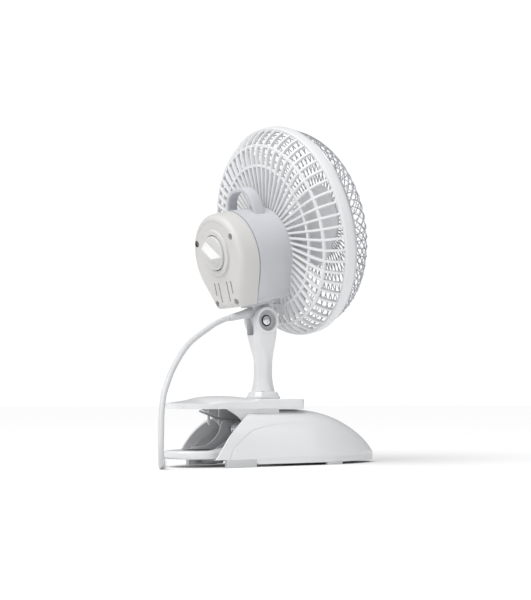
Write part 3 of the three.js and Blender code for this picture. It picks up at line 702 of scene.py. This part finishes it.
class FAN_OT_dome(bpy.types.Operator):
    """Weighted dome of the clamp, with its slanted mouth, crease and lever opening"""
    bl_idname = "desk_fan.dome"
    bl_label = "Dome"

    def execute(self, context):
        arch = arch_points()
        edge = CUT_Y / DOME_WIDE
        for sign in (1, -1):
            k = min(range(len(arch)), key=lambda i: abs(arch[i][0] - sign * edge))
            c = edge ** (1 / ARCH_WIDE)
            arch[k] = (sign * edge, math.sqrt(1 - c * c) ** ARCH_TALL)
        sides = [(1, -j / 4) for j in range(4, 0, -1)] + arch + [(-1, -j / 4) for j in range(1, 5)]
        before, after = 16, 60
        rows, columns = before + 4 + after, len(sides)
        clear()
        bpy.ops.mesh.primitive_grid_add(x_subdivisions=columns - 1, y_subdivisions=rows - 1, size=1)
        dome = named("dome")
        lines = []
        for share_y, share_z in sides:
            rest_z = DOME_BASE + DOME_SKIRT + (DOME_TOP - DOME_BASE - DOME_SKIRT) * max(share_z, 0)
            if share_z < 0:
                rest_z = DOME_BASE + DOME_SKIRT * (1 + share_z)
            start = smooth_table(MOUTH, rest_z)
            if rest_z < 37:
                middle, deep = smooth_table(CREASE, rest_z), 0.5 * min(1, (37.2 - rest_z) / 5)
            else:
                middle, deep = 24 + (CUT_X - 24) * min(1, (rest_z - 37) / 4.0), 0.0
            top = abs(share_y) <= edge + 1e-6 and share_z > 0
            if top:
                middle = CUT_X + 0.8
            xs = [start + (middle - 0.8 - start) * i / before for i in range(before + 1)]
            xs += [middle - 0.35, middle + 0.35, middle + 0.8]
            first = middle + 0.8
            xs += [first + (DOME_FRONT - first) * math.sin(math.pi / 2 * i / after)
                   for i in range(1, after + 1)]
            lines.append((share_y, share_z, xs, before + 1, deep, top))
        for i, vertex in enumerate(dome.data.vertices):
            row, column = divmod(i, columns)
            share_y, share_z, xs, fold, deep, top = lines[column]
            x = xs[row]
            wide, tall = smooth_table(PLAN, x), smooth_table(CREST, x)
            skirt = min(DOME_SKIRT, (tall - DOME_BASE) * 0.6)
            z = DOME_BASE + skirt + (tall - DOME_BASE - skirt) * max(share_z, 0)
            y = wide * share_y
            if share_z < 0:
                lift = REAR_LIFT * min(1, max(0, (REAR_LIFT_X - x) / 2))
                z = DOME_BASE + lift + (skirt - lift) * (1 + share_z)
                if x > REAR_LIFT_X and share_z < -0.1:
                    y -= math.copysign(min(BAND_DEPTH, wide / 4), share_y)
            if row in (fold, fold + 1) and deep > 0:
                y -= math.copysign(deep, share_y)
            vertex.co = (x, y, z)
        edit(dome, "FACE")
        bpy.ops.mesh.select_all(action="DESELECT")
        done()
        # the opening that the levers come up through
        for face in dome.data.polygons:
            c = face.center
            face.select = c.x < CUT_X - 0.01 and abs(c.y) < CUT_Y - 0.02 and c.z > 30
        edit_keep(dome)
        bpy.ops.mesh.delete(type="FACE")
        done()
        tidy_faces(dome)
        if dome.data.polygons[len(dome.data.polygons) // 2].normal.z < 0:
            edit(dome)
            bpy.ops.mesh.flip_normals()
            done()
        apply(dome, "SOLIDIFY", thickness=sizes().wall / MM, offset=-1, use_even_offset=False)
        soften(dome, 0.45, 3, 50)
        finish_piece(dome, ON_FLOOR, gloss_white(), "base", ("dome_shell",), 40)
        return {"FINISHED"}


def edit_keep(obj):
    """Edit mode with the faces that were selected in code."""
    take(obj)
    bpy.context.tool_settings.mesh_select_mode = (False, False, True)
    bpy.ops.object.mode_set(mode="EDIT")


# --------------------------------------------------------------- the levers
LEVER_EDGE = [(-90, 51.2), (-80, 51.2), (-72, 50.8), (-65, 50), (-56, 51.4), (-48, 52.2), (-36, 52.3),
              (-26, 52.4), (-20, 53.5), (-16, 54.8)]
LEVER_CROWN = [(-90, 51.4), (-84, 52.2), (-72, 53.9), (-59, 56.6), (-44, 57.4), (-30, 57.0), (-21, 56.2),
               (-16, 55.2)]
LEVER_WIDTH = [(-62, 24), (-30, 24), (-23, 24.7), (-16, 25)]
BLOCK_FRONT = 29
ROUND_X, ROUND_LONG, ROUND_WIDE = -62.0, 28.0, 24.0     # rounded rear end of both levers
UPPER_CHEEK = [(-50, 48), (-45, 45.2), (-38, 41.3), (-32.4, 36.4), (-27.8, 31.5), (-24.4, 26.4),
               (-21.8, 22.4), (-18.5, 20.4), (-15, 22.6), (-12, 28), (-8.5, 34), (-4.5, 37.6), (-0.5, 39),
               (2.6, 39.6), (2.6, 48)]
LOWER_CHEEK = [(-70, 12.4), (-60, 14), (-52, 15.4), (-44.4, 16.4), (-39, 19.2), (-33.9, 23.6),
               (-30.6, 28.4), (-29, 33), (-27.2, 36.6), (-22, 38.2), (-15.6, 36), (-12, 30), (-8, 22),
               (0, 16), (12, 12.4)]


def round_end(degrees):
    """A point of the levers' rounded end; 0 is the rearmost one."""
    a = math.radians(degrees)
    return ROUND_X - ROUND_LONG * math.cos(a), ROUND_WIDE * math.sin(a)


LOWER_PLAN = ([round_end(a) for a in range(-84, 91, 6)] + [(-52, 22.6), (-44, 19.8), (60, 19.8), (80, 15),
              (92, 8), (92, -8), (80, -15), (60, -19.8), (-44, -19.8), (-52, -22.6), (-62, -24)])


def side_plate(name, profile, y0, y1, bevel=0.3):
    smooth = through([(x, 0, z) for x, z in profile], per=4)
    return pulled(name, [(p.x, y0, p.z) for p in smooth], (0, y1 - y0, 0), bevel, 2)


class FAN_OT_levers(bpy.types.Operator):
    """The two squeeze levers of the clamp, with their pivot cheeks"""
    bl_idname = "desk_fan.levers"
    bl_label = "Clamp levers"

    def execute(self, context):
        stations = [round_end(a) for a in range(6, 91, 6)]
        stations += [(x, smooth_table(LEVER_WIDTH, x)) for x in range(-60, -15, 2)]
        sections = []
        for x, w in stations:
            e, c = smooth_table(LEVER_EDGE, x), smooth_table(LEVER_CROWN, x)
            ring = [(x, w, 46.7)]
            for i in range(21):
                u = 1 - 2 * i / 20
                ring.append((x, w * u, e + (c - e) * (1 - u * u)))
            sections.append(ring + [(x, -w, 46.7)])
        upper = lofted("upper_lever_arm", sections)
        soften(upper, 0.9, 4, 40)
        corner = [(BLOCK_FRONT - 6 + 6 * math.sin(math.radians(a)), 19 + 6 * math.cos(math.radians(a)))
                  for a in range(0, 91, 9)]
        plan = [(-19.6, 25)] + corner + [(x, -y) for x, y in reversed(corner)] + [(-19.6, -25)]
        head = pulled("lever_block", [(x, y, 46.7) for x, y in plan], (0, 0, 8.3), 0.9, 4)
        join(upper, head)
        for s in (1, -1):
            y0, y1 = sorted((s * 20.2, s * 22.6))
            join(upper, side_plate("cheek", UPPER_CHEEK, y0, y1))
        for x in (-44, -34):
            fin = [(x - 0.7, 47), (x - 0.7, 34), (x + 0.7, 33), (x + 0.7, 47)]
            join(upper, side_plate("rib", fin, 12.5, 13.9, 0.2))
        finish_piece(upper, ON_FLOOR, gloss_white(), "base", ("upper_lever",), 38)

        lower = pulled("lower_lever_arm", [(x, y, 6.7) for x, y in LOWER_PLAN], (0, 0, 6.7), 2.2, 5)
        cut(lower, block("pocket", -74, 100, -17.6, 17.6, 9.1, 20, 1.2))
        for s in (1, -1):
            y0, y1 = sorted((s * 17.6, s * 19.8))
            join(lower, side_plate("cheek", LOWER_CHEEK, y0, y1))
        finish_piece(lower, ON_FLOOR, gloss_white(), "lower_clamp", ("lower_lever",), 38)
        return {"FINISHED"}


SPRING_TURNS, SPRING_R, SPRING_HALF = 6.5, 5.6, 8


class FAN_OT_clamp_details(bpy.types.Operator):
    """Soft feet, jaw pad, pivot pin and torsion spring of the clamp"""
    bl_idname = "desk_fan.clamp_details"
    bl_label = "Feet, pad, pin and spring"

    def execute(self, context):
        for i, (x, half, y, s) in enumerate([(-40, 14, 31.5, 1), (-40, 14, 31.5, -1), (53, 8, 29.9, 1),
                                             (53, 8, 29.9, -1)]):
            foot = block(f"soft_foot_{i + 1}", x - half, x + half, s * y - 2.2, s * y + 2.2, 0,
                         6.9 if x < 0 else 2.4, 0.5, 3)
            finish_piece(foot, ON_FLOOR, pad_rubber(), "base", (f"dome_foot_{i + 1}",))
        for i, s in enumerate((1, -1)):
            foot = block(f"lever_pad_{i + 1}", -60, -42, s * 4.5 - 3.5, s * 4.5 + 3.5, 2.6, 6.6, 1, 4)
            finish_piece(foot, ON_FLOOR, pad_rubber(), "lower_clamp", (f"lever_foot_{i + 1}",))
        pad = pulled("jaw_pad", [(30, -15, 4.2), (66, -15, 4.2), (80, -9, 4.2), (80, 9, 4.2), (66, 15, 4.2),
                                 (30, 15, 4.2)], (0, 0, 2.3), 0.6, 3)
        finish_piece(pad, ON_FLOOR, pad_rubber(), "lower_clamp", ("lower_jaw_pad",))
        x, z = PIN
        pin = spun("pivot_pin", [(-23.6, 0), (-23.6, 1.9), (-23.1, 2.4), (23.1, 2.4), (23.6, 1.9), (23.6, 0)],
                   32, axis="Y", x=x, z=z)
        finish_piece(pin, ON_FLOOR, bright_steel(), "base", ("clamp_pin",))
        steps = int(SPRING_TURNS * 24)
        wire = [(-56, -SPRING_HALF, 10.6), (-40, -SPRING_HALF, 19.4)]
        for i in range(steps + 1):
            a = math.radians(-90 + 15 * i)
            wire.append((x + SPRING_R * math.cos(a), SPRING_HALF * (2 * i / steps - 1),
                         z + SPRING_R * math.sin(a)))
        wire += [(-40, SPRING_HALF, 39.4), (-56, SPRING_HALF, 45.1)]
        spring = tube("torsion_spring", wire, 0.9, 10)
        finish_piece(spring, ON_FLOOR, bright_steel(), None, ("clamp_spring",), 50)
        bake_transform(spring)
        return {"FINISHED"}


# ------------------------------------------------------------ neck and tilt
POST_X = [(61.2, 9.2), (67, 8.2), (75, 7.5), (84, 7.6), (94, 8.9), (102, 10.4), (111.5, 11.6), (121, 11.6)]
POST_Y = [(61.2, 8.1), (67, 6.8), (75, 5.8), (84, 5.9), (94, 7), (102, 8.2), (111.5, 9.4), (121, 10)]
POST_MIDDLE = [(61.2, 1.3), (84, 1.3), (94, 0.9), (102, 0.4), (111.5, 0), (121, -0.2)]
RECESS_R, RECESS_FLOOR, WELL_R = 8.8, -7.4, 4.9     # round the tilt screw's head
TONGUE_R, FLANGE_TOP = 8.6, FOOT_Z - 0.3            # knuckle under the motor housing
# half widths of the flats that face sideways and fore and aft
POST_FLAT = [(61.2, 3.4), (67, 1.6), (75, 1.0), (86, 0.9), (92, 1.6), (98, 4.2), (104, 7), (111.5, 7.7),
             (121, 7.6)]
POST_SIDE = [(61.2, 4.6), (75, 3.2), (86, 3.2), (102, 4.7), (121, 6)]


def neck_rod(name, y0, y1, radius, sides=48):
    """A rod along the tilt axis."""
    return rod(name, y0, y1, radius, z=NECK_Z, axis="Y", x=NECK_X, sides=sides)


def post_ring(z, half_x, half_y, middle, flat, side):
    """An oblong with cut corners, each corner of the cut slightly rounded."""
    hard = [(half_x, -side), (half_x, side), (flat, half_y), (-flat, half_y),
            (-half_x, side), (-half_x, -side), (-flat, -half_y), (flat, -half_y)]
    ring = []
    for i, here in enumerate(hard):
        here, back, ahead = (Vector(hard[(i + k) % 8]) for k in (0, -1, 1))
        a, b = (here + (q - here).normalized() * min(1.1, (q - here).length * 0.4) for q in (back, ahead))
        for t in (0, 0.33, 0.67, 1):
            p = a * (1 - t) ** 2 + here * 2 * t * (1 - t) + b * t * t
            ring.append((p.x + middle, p.y, z))
    return ring


class FAN_OT_neck(bpy.types.Operator):
    """Post with its fork, foot collar, tilt screw and nut, knuckle and lead relief"""
    bl_idname = "desk_fan.neck"
    bl_label = "Neck and tilt joint"

    def execute(self, context):
        levels = [61.2 + (NECK_Z - 61.2) * i / 40 for i in range(41)]
        shape = (POST_X, POST_Y, POST_MIDDLE, POST_FLAT, POST_SIDE)
        post = lofted("neck_post", [post_ring(z, *(smooth_table(t, z) for t in shape)) for z in levels])
        ears = spun("ears", [(-10, 0), (-10, 10.9), (-9.3, 11.6), (9.3, 11.6), (10, 10.9), (10, 0)], 72,
                    axis="Y", x=NECK_X, z=NECK_Z)
        cut(post, ears, operation="UNION")
        cut(post, block("gap", -30, 20, -5, 5, NECK_Z - 12.5, NECK_Z + 20, 1.5),
            neck_rod("recess", -12, RECESS_FLOOR, RECESS_R), neck_rod("well", -12, -5.6, WELL_R),
            neck_rod("nut_recess", 7.2, 12, 4.9, sides=6))
        finish_piece(post, ON_FLOOR, gloss_white(), "base", ("post",), 30)
        # Slot 1: grey painted shade on the floor of the screw's recess.
        post.data.materials.append(recess_painted_shade())
        # Slot 2: near-black painted shadow inside the screw's well.
        post.data.materials.append(well_painted_shadow())
        # Faces on the recess floor get the grey painted shade, and faces in the well the near-black painted
        # shadow.
        for face in post.data.polygons:
            c = face.center / MM
            reach = math.hypot(c.x - PIVOT.x, c.z - PIVOT.z)
            if reach < RECESS_R - 0.05 and abs(c.y - RECESS_FLOOR + 0.1) < 0.3:
                face.material_index = 1
            elif reach < WELL_R + 0.05 and -7.3 < c.y < -5.2:
                face.material_index = 2
        collar = lofted("neck_collar", [post_ring(z, hx, hy, m, hx - 4, hy - 4) for z, hx, hy, m in (
            (55.2, 12.7, 10.3, 1.5), (55.6, 13, 10.6, 1.5), (56.6, 13, 10.6, 1.5), (57.1, 12.5, 10.2, 1.5),
            (58.4, 11.8, 9.8, 1.45), (60.2, 11.2, 9.5, 1.4), (60.9, 10.6, 9.1, 1.3))])
        finish_piece(collar, ON_FLOOR, gloss_white(), "base", ("post_collar",), 30)
        screw = spun("tilt_screw", [(-9.1, 0), (-9.1, 1.4), (-8.8, 2.8), (-8.2, 3.7), (-7.7, 3.9), (-7.2, 3.9),
                                    (-7.2, 2.1), (9.4, 2.1), (9.4, 0)], 48, axis="Y", x=NECK_X, z=NECK_Z)
        cut(screw, block("slot", NECK_X - 0.5, NECK_X + 0.5, -11, -8.0, NECK_Z - 2.4, NECK_Z + 2.4),
            block("slot", NECK_X - 2.4, NECK_X + 2.4, -11, -8.0, NECK_Z - 0.5, NECK_Z + 0.5))
        finish_piece(screw, ON_FLOOR, bright_steel(), "base", ("tilt_bolt",))
        nut = neck_rod("tilt_nut_hex", 7.5, 9.7, 4.2, sides=6)
        cut(nut, neck_rod("hole", 5, 12, 2.3, sides=32))
        soften(nut, 0.25, 2)
        finish_piece(nut, ON_FLOOR, bright_steel(), "base", ("tilt_nut",))

        arc = [math.radians(a) for a in range(180, 361, 9)]
        side = [(TONGUE_R * math.cos(a), TONGUE_R * math.sin(a)) for a in arc]
        side += [(TONGUE_R, FLANGE_TOP), (-TONGUE_R, FLANGE_TOP)]
        knuckle = pulled("tilt_knuckle_tongue", [(x, -4.7, z) for x, z in side], (0, 9.4, 0), 0.4, 2)
        join(knuckle, block("flange", -12, 12, -9, 9, 14, FLANGE_TOP, 0.5))
        finish_piece(knuckle, IN_HEAD, housing_grey(), "head", ("tilt_knuckle",))
        rings = [(0, 0), (0, 4.4)]
        for i in range(3):
            back, thin = 1.7 * i, 0.12 * i
            rings += [(-0.4 - back, 4.5 - thin), (-1.1 - back, 4.4 - thin), (-1.3 - back, 3.7), (-1.7 - back, 3.7)]
        rings += [(-5.4, 3.9), (-8, 3.55), (-13, 3.2), (-21.4, 2.85), (-22, 2.5), (-22, 0)]
        relief = spun("lead_relief", rings, 36, z=GLAND_UP, x=GLAND_REAR)
        finish_piece(relief, IN_HEAD, cord_jacket(), "head", ("cord_gland",), 40)
        return {"FINISHED"}


# -------------------------------------------------------------- motor housing
def case_ring(x, radius, inset=0.0, foot=19.0, arc=56):
    """Round top running down to a narrower flat foot, seen along the fan's axis."""
    r, w, z0 = radius - inset, foot - inset, FOOT_Z + inset
    reach = math.hypot(w, z0 - CASE_Z)
    start = math.atan2(z0 - CASE_Z, w) + math.acos(r / reach)
    ring = []
    soft = 1.6
    side = Vector((r * math.cos(start) - w, CASE_Z + r * math.sin(start) - z0)).normalized()
    for sign in (-1, 1):
        corner = Vector((sign * w, z0))
        up = corner + Vector((sign * side.x, side.y)) * soft
        flat = corner - Vector((sign * soft, 0))
        pair = (up, flat) if sign < 0 else (flat, up)
        for t in (0, 0.25, 0.5, 0.75, 1):
            ring.append(pair[0] * (1 - t) ** 2 + corner * 2 * t * (1 - t) + pair[1] * t * t)
    for i in range(arc + 1):
        a = start + (math.pi - 2 * start) * i / arc
        ring.append(Vector((r * math.cos(a), CASE_Z + r * math.sin(a))))
    return [(x, p.x, p.y) for p in ring]


COVER_SCREWS = ((27, AXIS + 5.5), (-27, AXIS + 5.5), (15, FOOT_Z + 5.4), (-15, FOOT_Z + 5.4))
SLOT_TOP, SLOT_HALF = FOOT_Z + 23, 0.8
SLOTS = ((-12.9, 10.5), (-6.4, 17), (6.4, 17), (12.9, 10.5))      # place and length
SHELL_FOOT = 17.5                      # half width of the housing's foot inside its ledge
HANDLE_FOOT = CASE_Z + 26
HANDLE_BACK, HANDLE_FRONT = 2.2, 11.8
HANDLE_OUTER, HANDLE_INNER = (21.6, 28.2), (18.7, 25.0)           # half width and height


class FAN_OT_housing(bpy.types.Operator):
    """Motor housing, carry handle and the rear cover with its screws"""
    bl_idname = "desk_fan.housing"
    bl_label = "Motor housing and cover"

    def execute(self, context):
        wall = sizes().wall / MM
        front = GRILLE_X - 0.3
        steps = [SEAM_X + 0.05, SEAM_X + 0.65, SEAM_X + 0.75]
        steps += [SEAM_X + 1 + (front - SEAM_X - 1) * i / 10 for i in range(11)]
        shell = []
        for x in steps:
            t = (x - SEAM_X) / (front - SEAM_X)
            groove = 1.3 if x < SEAM_X + 0.7 else 0
            shell.append(case_ring(x, CASE_R - 1.8 * t - groove, 0, SHELL_FOOT))
        case = lofted("housing", shell)
        ledge = block("ledge", SEAM_X + 0.05, front, -20, 20, FOOT_Z, FOOT_Z + 10.5, 1.3, 4)
        cut(case, ledge, operation="UNION")
        cut(case, lofted("hollow", [case_ring(SEAM_X - 1, CASE_R, wall, SHELL_FOOT),
                                    case_ring(front - wall, CASE_R - 1.8, wall, SHELL_FOOT)]))
        finish_piece(case, IN_HEAD, housing_grey(), "head", ("motor_housing",), 30)

        rings = [case_ring(SEAM_X - 0.3, CASE_R, 0.35), case_ring(SEAM_X - 0.75, CASE_R, 0.0)]
        rings += [case_ring(SEAM_X - 4, CASE_R, 0.0), case_ring(REAR_X + 9, CASE_R, 0.15)]
        for a in range(0, 91, 10):
            rings.append(case_ring(REAR_X + 0.1 + 5.4 * (1 - math.sin(math.radians(a))), CASE_R,
                                   0.3 + 4.3 * (1 - math.cos(math.radians(a)))))
        rings += [case_ring(REAR_X + 0.0, CASE_R, 5.0), case_ring(REAR_X + 0.05, CASE_R, 5.3),
                  case_ring(REAR_X + 0.4, CASE_R, 5.7)]
        cover = lofted("rear_case_cover", rings)
        cut(cover, lofted("inside", [case_ring(x, CASE_R, inset) for x, inset in (
            (REAR_X + 3.4, 2.8 + wall), (REAR_X + 6, wall), (SEAM_X + 1, wall))]))
        for y, z in COVER_SCREWS:
            join(cover, rod("boss", REAR_X + 2.2, SEAM_X - 0.3, 3.9, y, z, sides=24))
        cut(cover, *[rod("well", REAR_X - 2, REAR_X + 7, 2.9, y, z, sides=32) for y, z in COVER_SCREWS],
            *[block("slot", REAR_X - 2, REAR_X + 5, y - SLOT_HALF, y + SLOT_HALF, SLOT_TOP - long, SLOT_TOP)
              for y, long in SLOTS],
            rod("knob_recess", REAR_X - 3, REAR_X + 1.9, 15.0, z=KNOB_Z, sides=72))
        bezel = spun("bezel", [(1.5, 15.0), (-1.0, 15.0), (-1.4, 15.3), (-1.5, 15.8),
                               (-1.5, 18.5), (-1.3, 19.1), (-0.8, 19.5), (0.1, 19.6),
                               (0.2, 20.2), (1.5, 20.2)], 96, z=KNOB_Z, x=REAR_X)
        join(cover, bezel)
        finish_piece(cover, IN_HEAD, cover_grey(), "head", ("rear_cover",), 30)
        for i, (y, z) in enumerate(COVER_SCREWS):
            screw = spun(f"case_screw_{i + 1}", [(REAR_X + 5, 0), (REAR_X + 5, 1.9), (REAR_X + 5.5, 2.5),
                                                 (REAR_X + 6.9, 2.6), (REAR_X + 6.9, 1.35), (SEAM_X + 12, 1.35),
                                                 (SEAM_X + 13.5, 0)], 24, y, z)
            cut(screw, block("slot", REAR_X + 4, REAR_X + 6.1, y - 1.8, y + 1.8, z - 0.35, z + 0.35))
            finish_piece(screw, IN_HEAD, bright_steel(), "head", (f"cover_screw_{i + 1}",))

        sections = []
        for i in range(41):
            a = math.pi * i / 40
            across = math.copysign(abs(math.cos(a)) ** 0.8, math.cos(a))
            up = max(0.0, math.sin(a)) ** 0.66
            drop = 4.2 if i in (0, 40) else 0
            (yo, zo), (yi, zi) = ((wide * across, HANDLE_FOOT + tall * up - drop)
                                  for wide, tall in (HANDLE_OUTER, HANDLE_INNER))
            sections.append([(HANDLE_BACK, yo, zo), (HANDLE_FRONT, yo, zo),
                             (HANDLE_FRONT, yi, zi), (HANDLE_BACK, yi, zi)])
        handle = lofted("carry_arch", sections)
        soften(handle, 0.7, 3, 50)
        finish_piece(handle, IN_HEAD, housing_grey(), "head", ("carry_handle",), 40)
        return {"FINISHED"}


class FAN_OT_knob(bpy.types.Operator):
    """Speed knob: a disc with a tapered grip across it"""
    bl_idname = "desk_fan.knob"
    bl_label = "Speed knob"

    def execute(self, context):
        r = sizes().knob_radius / MM
        knob = spun("speed_dial", [(1.5, 0), (1.5, r), (-2.4, r), (-3.0, r - 0.25),
                                   (-3.4, r - 0.9), (-3.4, 0)], 96, z=KNOB_Z, x=REAR_X)
        ridge = [[(REAR_X + x, sy * y, sz * z) for sy, sz in ((-1, -1), (1, -1), (1, 1), (-1, 1))]
                 for x, y, z in ((-3.0, 4.6, 12.9), (-3.6, 4.5, 12.6), (-9.6, 1.0, 8))]
        grip = lofted("grip", ridge)
        soften(grip, 0.45, 3, 25)
        turn = Matrix.Rotation(math.radians(GRIP_TURN), 4, "X")
        grip.matrix_world = Matrix.Translation((0, 0, KNOB_Z)) @ turn
        take(grip)
        bpy.ops.object.transform_apply(location=True, rotation=True, scale=True)
        join(knob, grip, rod("stem", REAR_X, REAR_X + 9, 3, z=KNOB_Z, sides=32))
        finish_piece(knob, IN_HEAD, knob_white(), "knob", ("speed_knob",), 30)
        return {"FINISHED"}


# ------------------------------------------------------- grille, guard, blade
RIB_OUTER = [(0, 22), (0, 64), (0.7, 71.5), (2.9, 77.6), (6.6, 82.6), (11.6, 86.4), (17.2, 89.2)]
RIB_INNER = [(17.2, 86.4), (12.2, 83.4), (8.4, 79.6), (5.4, 75), (3.9, 70.4), (3.4, 64), (3.4, 22)]
GUARD_CURVE = [(1.4, 88.2), (12, 85), (22.4, 77.4), (30, 60), (33.4, 40), (34.6, 21)]
GUARD_TWIST = 34


class FAN_OT_back_grille(bpy.types.Operator):
    """Moulded back grille: curved ribs, two rings, hub plate and the wide rim"""
    bl_idname = "desk_fan.back_grille"
    bl_label = "Back grille"

    def execute(self, context):
        count, half = sizes().rib_count, sizes().rib_width / MM / 2
        outer = through([(GRILLE_X + x, 0, r) for x, r in RIB_OUTER], per=3)
        inner = through([(GRILLE_X + x, 0, r) for x, r in RIB_INNER], per=3)
        rib = pulled("rib", [(p.x, -half, p.z) for p in [*outer, *inner]], (0, 2 * half, 0), 0.32, 2)
        copies = turned_copies(rib, count, math.pi / count)
        grille = spun("back_grille_moulding", [
            (-9.7, 87.6), (-9.7, 89.9), (-9.2, 90.5), (-7, 90.9), (-4, 91),
            (-1.4, 90.8), (-0.4, 90.3), (0, 89.4), (0, 88.4), (-0.6, 87.9),
            (-6, 87.5)], 168, x=RIM_X)
        for r, x in ((60.5, 0.35), (77.2, 2.9)):
            copies.append(spun("ring", [(0, r - 0.9), (0, r + 0.9), (0.3, r + 1.2), (2.2, r + 1.2),
                                        (2.2, r - 1.2), (0.3, r - 1.2)], 168, x=GRILLE_X + x))
        join(grille, *copies)
        grille.data.transform(Matrix.Translation((0, 0, AXIS)))
        plate = lofted("hub_plate", [case_ring(GRILLE_X, 35.1, 0, 17), case_ring(GRILLE_X + 2.6, 35.1, 0, 17)])
        cut(plate, rod("hole", GRILLE_X - 1, GRILLE_X + 4, 6.5, z=AXIS))
        join(grille, plate)
        finish_piece(grille, IN_HEAD, grille_white(), "head", ("back_grille",), 35)
        return {"FINISHED"}


class FAN_OT_wire_guard(bpy.types.Operator):
    """Crossed wires of the front guard with their hoops and the middle badge"""
    bl_idname = "desk_fan.wire_guard"
    bl_label = "Wire guard and badge"

    def execute(self, context):
        count, radius = sizes().wire_count, sizes().wire_radius / MM
        wires = []
        curve = through([(x, r, 0) for x, r in GUARD_CURVE], per=4)
        for hand in (1, -1):
            points = []
            for i, p in enumerate(curve):
                a = math.radians(hand * GUARD_TWIST * i / (len(curve) - 1))
                lift = 0.42 * hand * min(1, i / 3)
                points.append((RIM_X + p.x + lift, p.y * math.cos(a), p.y * math.sin(a)))
            wires += turned_copies(tube("wire", points, radius, 5), count)

        def hoop(x, r, thick, steps=144):
            """A round wire ring, drawn as a ten-sided section"""
            ring = [(thick * math.cos(math.tau * i / 10), r + thick * math.sin(math.tau * i / 10))
                    for i in range(10)]
            return spun("hoop", ring, steps, x=RIM_X + x)

        guard = hoop(1.5, 88.2, 1.2)
        join(guard, hoop(34.6, 20.6, 0.95, 64), *wires)
        guard.name = guard.data.name = "wire_guard"
        guard.data.transform(Matrix.Translation((0, 0, AXIS)))
        finish_piece(guard, IN_HEAD, wire_steel(), "head", ("front_guard",), 60)
        badge = spun("guard_cap", [(36.0, 0), (36.0, 19.6), (36.6, 21.0), (37.4, 21.4),
                                   (38.4, 21), (38.9, 20), (38.8, 18.6), (38.4, 17.8),
                                   (39.0, 14), (39.4, 8), (39.6, 0)], 96, z=AXIS, x=RIM_X)
        finish_piece(badge, IN_HEAD, gloss_white(), "head", ("guard_badge",), 30)
        return {"FINISHED"}


BLADE_ROOT, TIP_ROUND = 15, 9          # radius where the pitch starts, and the rounded length at the tip
FIRST_BLADE = 96                       # degrees round the shaft


def blade_ring(r, tip, n=12):
    t = (r - BLADE_ROOT) / (tip - BLADE_ROOT)
    pitch = math.radians(38 - 19 * t)
    half = 12 + 27 * math.sin(math.pi * (0.16 + 0.62 * t))
    if r > tip - TIP_ROUND:
        half *= math.sqrt(max(0.02, 1 - ((r - tip + TIP_ROUND) / 9.05) ** 2 * 0.75))
    ring = []
    for side in (1, -1):
        for i in range(n + 1):
            u = side * (1 - 2 * i / n)
            bow = 3.4 * (1 - u * u)
            thick = 0.75 * max(0.25, 1 - u ** 6)
            x = u * half * math.sin(pitch) * 0.62 + bow + side * thick
            a = u * half * math.cos(pitch) / r + 0.12 * t
            ring.append((RIM_X - 8 + x, r * math.sin(a), r * math.cos(a)))
    return ring


class FAN_OT_blade(bpy.types.Operator):
    """Three-bladed fan on its domed hub"""
    bl_idname = "desk_fan.blade"
    bl_label = "Fan blade"

    def execute(self, context):
        tip, count = sizes().blade_radius / MM, sizes().blade_count
        root, bend = BLADE_ROOT - 1, tip - TIP_ROUND
        radii = [root + (bend - root) * i / 16 for i in range(17)]
        radii += [bend + TIP_ROUND * math.sin(math.pi / 2 * i / 8) for i in range(1, 9)]
        one = lofted("one_blade", [blade_ring(r, tip) for r in radii])
        fan = spun("fan_rotor", [(-19, 2.3), (-19, 16.4), (-18.4, 17), (-3, 15.7),
                                 (-0.6, 14.8), (1.2, 13), (2.2, 9.5), (2.4, 5),
                                 (2.4, 0.4), (-6.2, 0.4), (-6.2, 2.3)], 72, x=RIM_X)
        join(fan, *turned_copies(one, count, math.radians(FIRST_BLADE)))
        fan.data.transform(Matrix.Translation((0, 0, AXIS)))
        finish_piece(fan, IN_HEAD, grille_white(), "rotor", ("fan_blade",), 40)
        return {"FINISHED"}


class FAN_OT_inner_finishes(bpy.types.Operator):
    """Finishes of the motor, switch and screws that stay as the frame has them"""
    bl_idname = "desk_fan.inner_finishes"
    bl_label = "Inner finishes"

    def execute(self, context):
        kept = {"stator_core": lamination, "rotor_core": bright_steel, "stator_coil": copper,
                "rotor_shaft": bright_steel, "motor_bracket_front": bright_steel,
                "motor_bracket_rear": bright_steel, "bearing_front": bronze, "bearing_rear": bronze,
                "rotary_switch": switch_black, "post_screw": bright_steel}
        for name, made in kept.items():
            for slot in frame["nodes"][name].material_slots:
                slot.material = made()
        return {"FINISHED"}


# --------------------------------------------------------------------- add-on
STEPS = (FAN_OT_stage, FAN_OT_lead, FAN_OT_dome, FAN_OT_levers, FAN_OT_clamp_details, FAN_OT_neck,
         FAN_OT_housing, FAN_OT_knob, FAN_OT_back_grille, FAN_OT_wire_guard, FAN_OT_blade,
         FAN_OT_inner_finishes)


class FAN_PT_sidebar(bpy.types.Panel):
    """Sizes, colours and building steps of the desk fan"""
    bl_idname = "FAN_PT_sidebar"
    bl_label = "Desk Fan"
    bl_space_type = "VIEW_3D"
    bl_region_type = "UI"
    bl_category = "Desk Fan"

    def draw(self, context):
        for group in (context.scene.fan_sizes, context.scene.fan_colours):
            box = self.layout.box()
            for name in group.__annotations__:
                box.prop(group, name)
        for step in STEPS:
            self.layout.operator(step.bl_idname)


CLASSES = (FanSizes, FanColours, *STEPS, FAN_PT_sidebar)


def register():
    for cls in CLASSES:
        bpy.utils.register_class(cls)
    bpy.types.Scene.fan_sizes = PointerProperty(type=FanSizes)
    bpy.types.Scene.fan_colours = PointerProperty(type=FanColours)


def unregister():
    del bpy.types.Scene.fan_colours
    del bpy.types.Scene.fan_sizes
    for cls in reversed(CLASSES):
        bpy.utils.unregister_class(cls)


def main():
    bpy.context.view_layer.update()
    register()
    for step in STEPS:
        area, action = step.bl_idname.split(".")
        getattr(getattr(bpy.ops, area), action)()


if __name__ == "__main__":
    main()
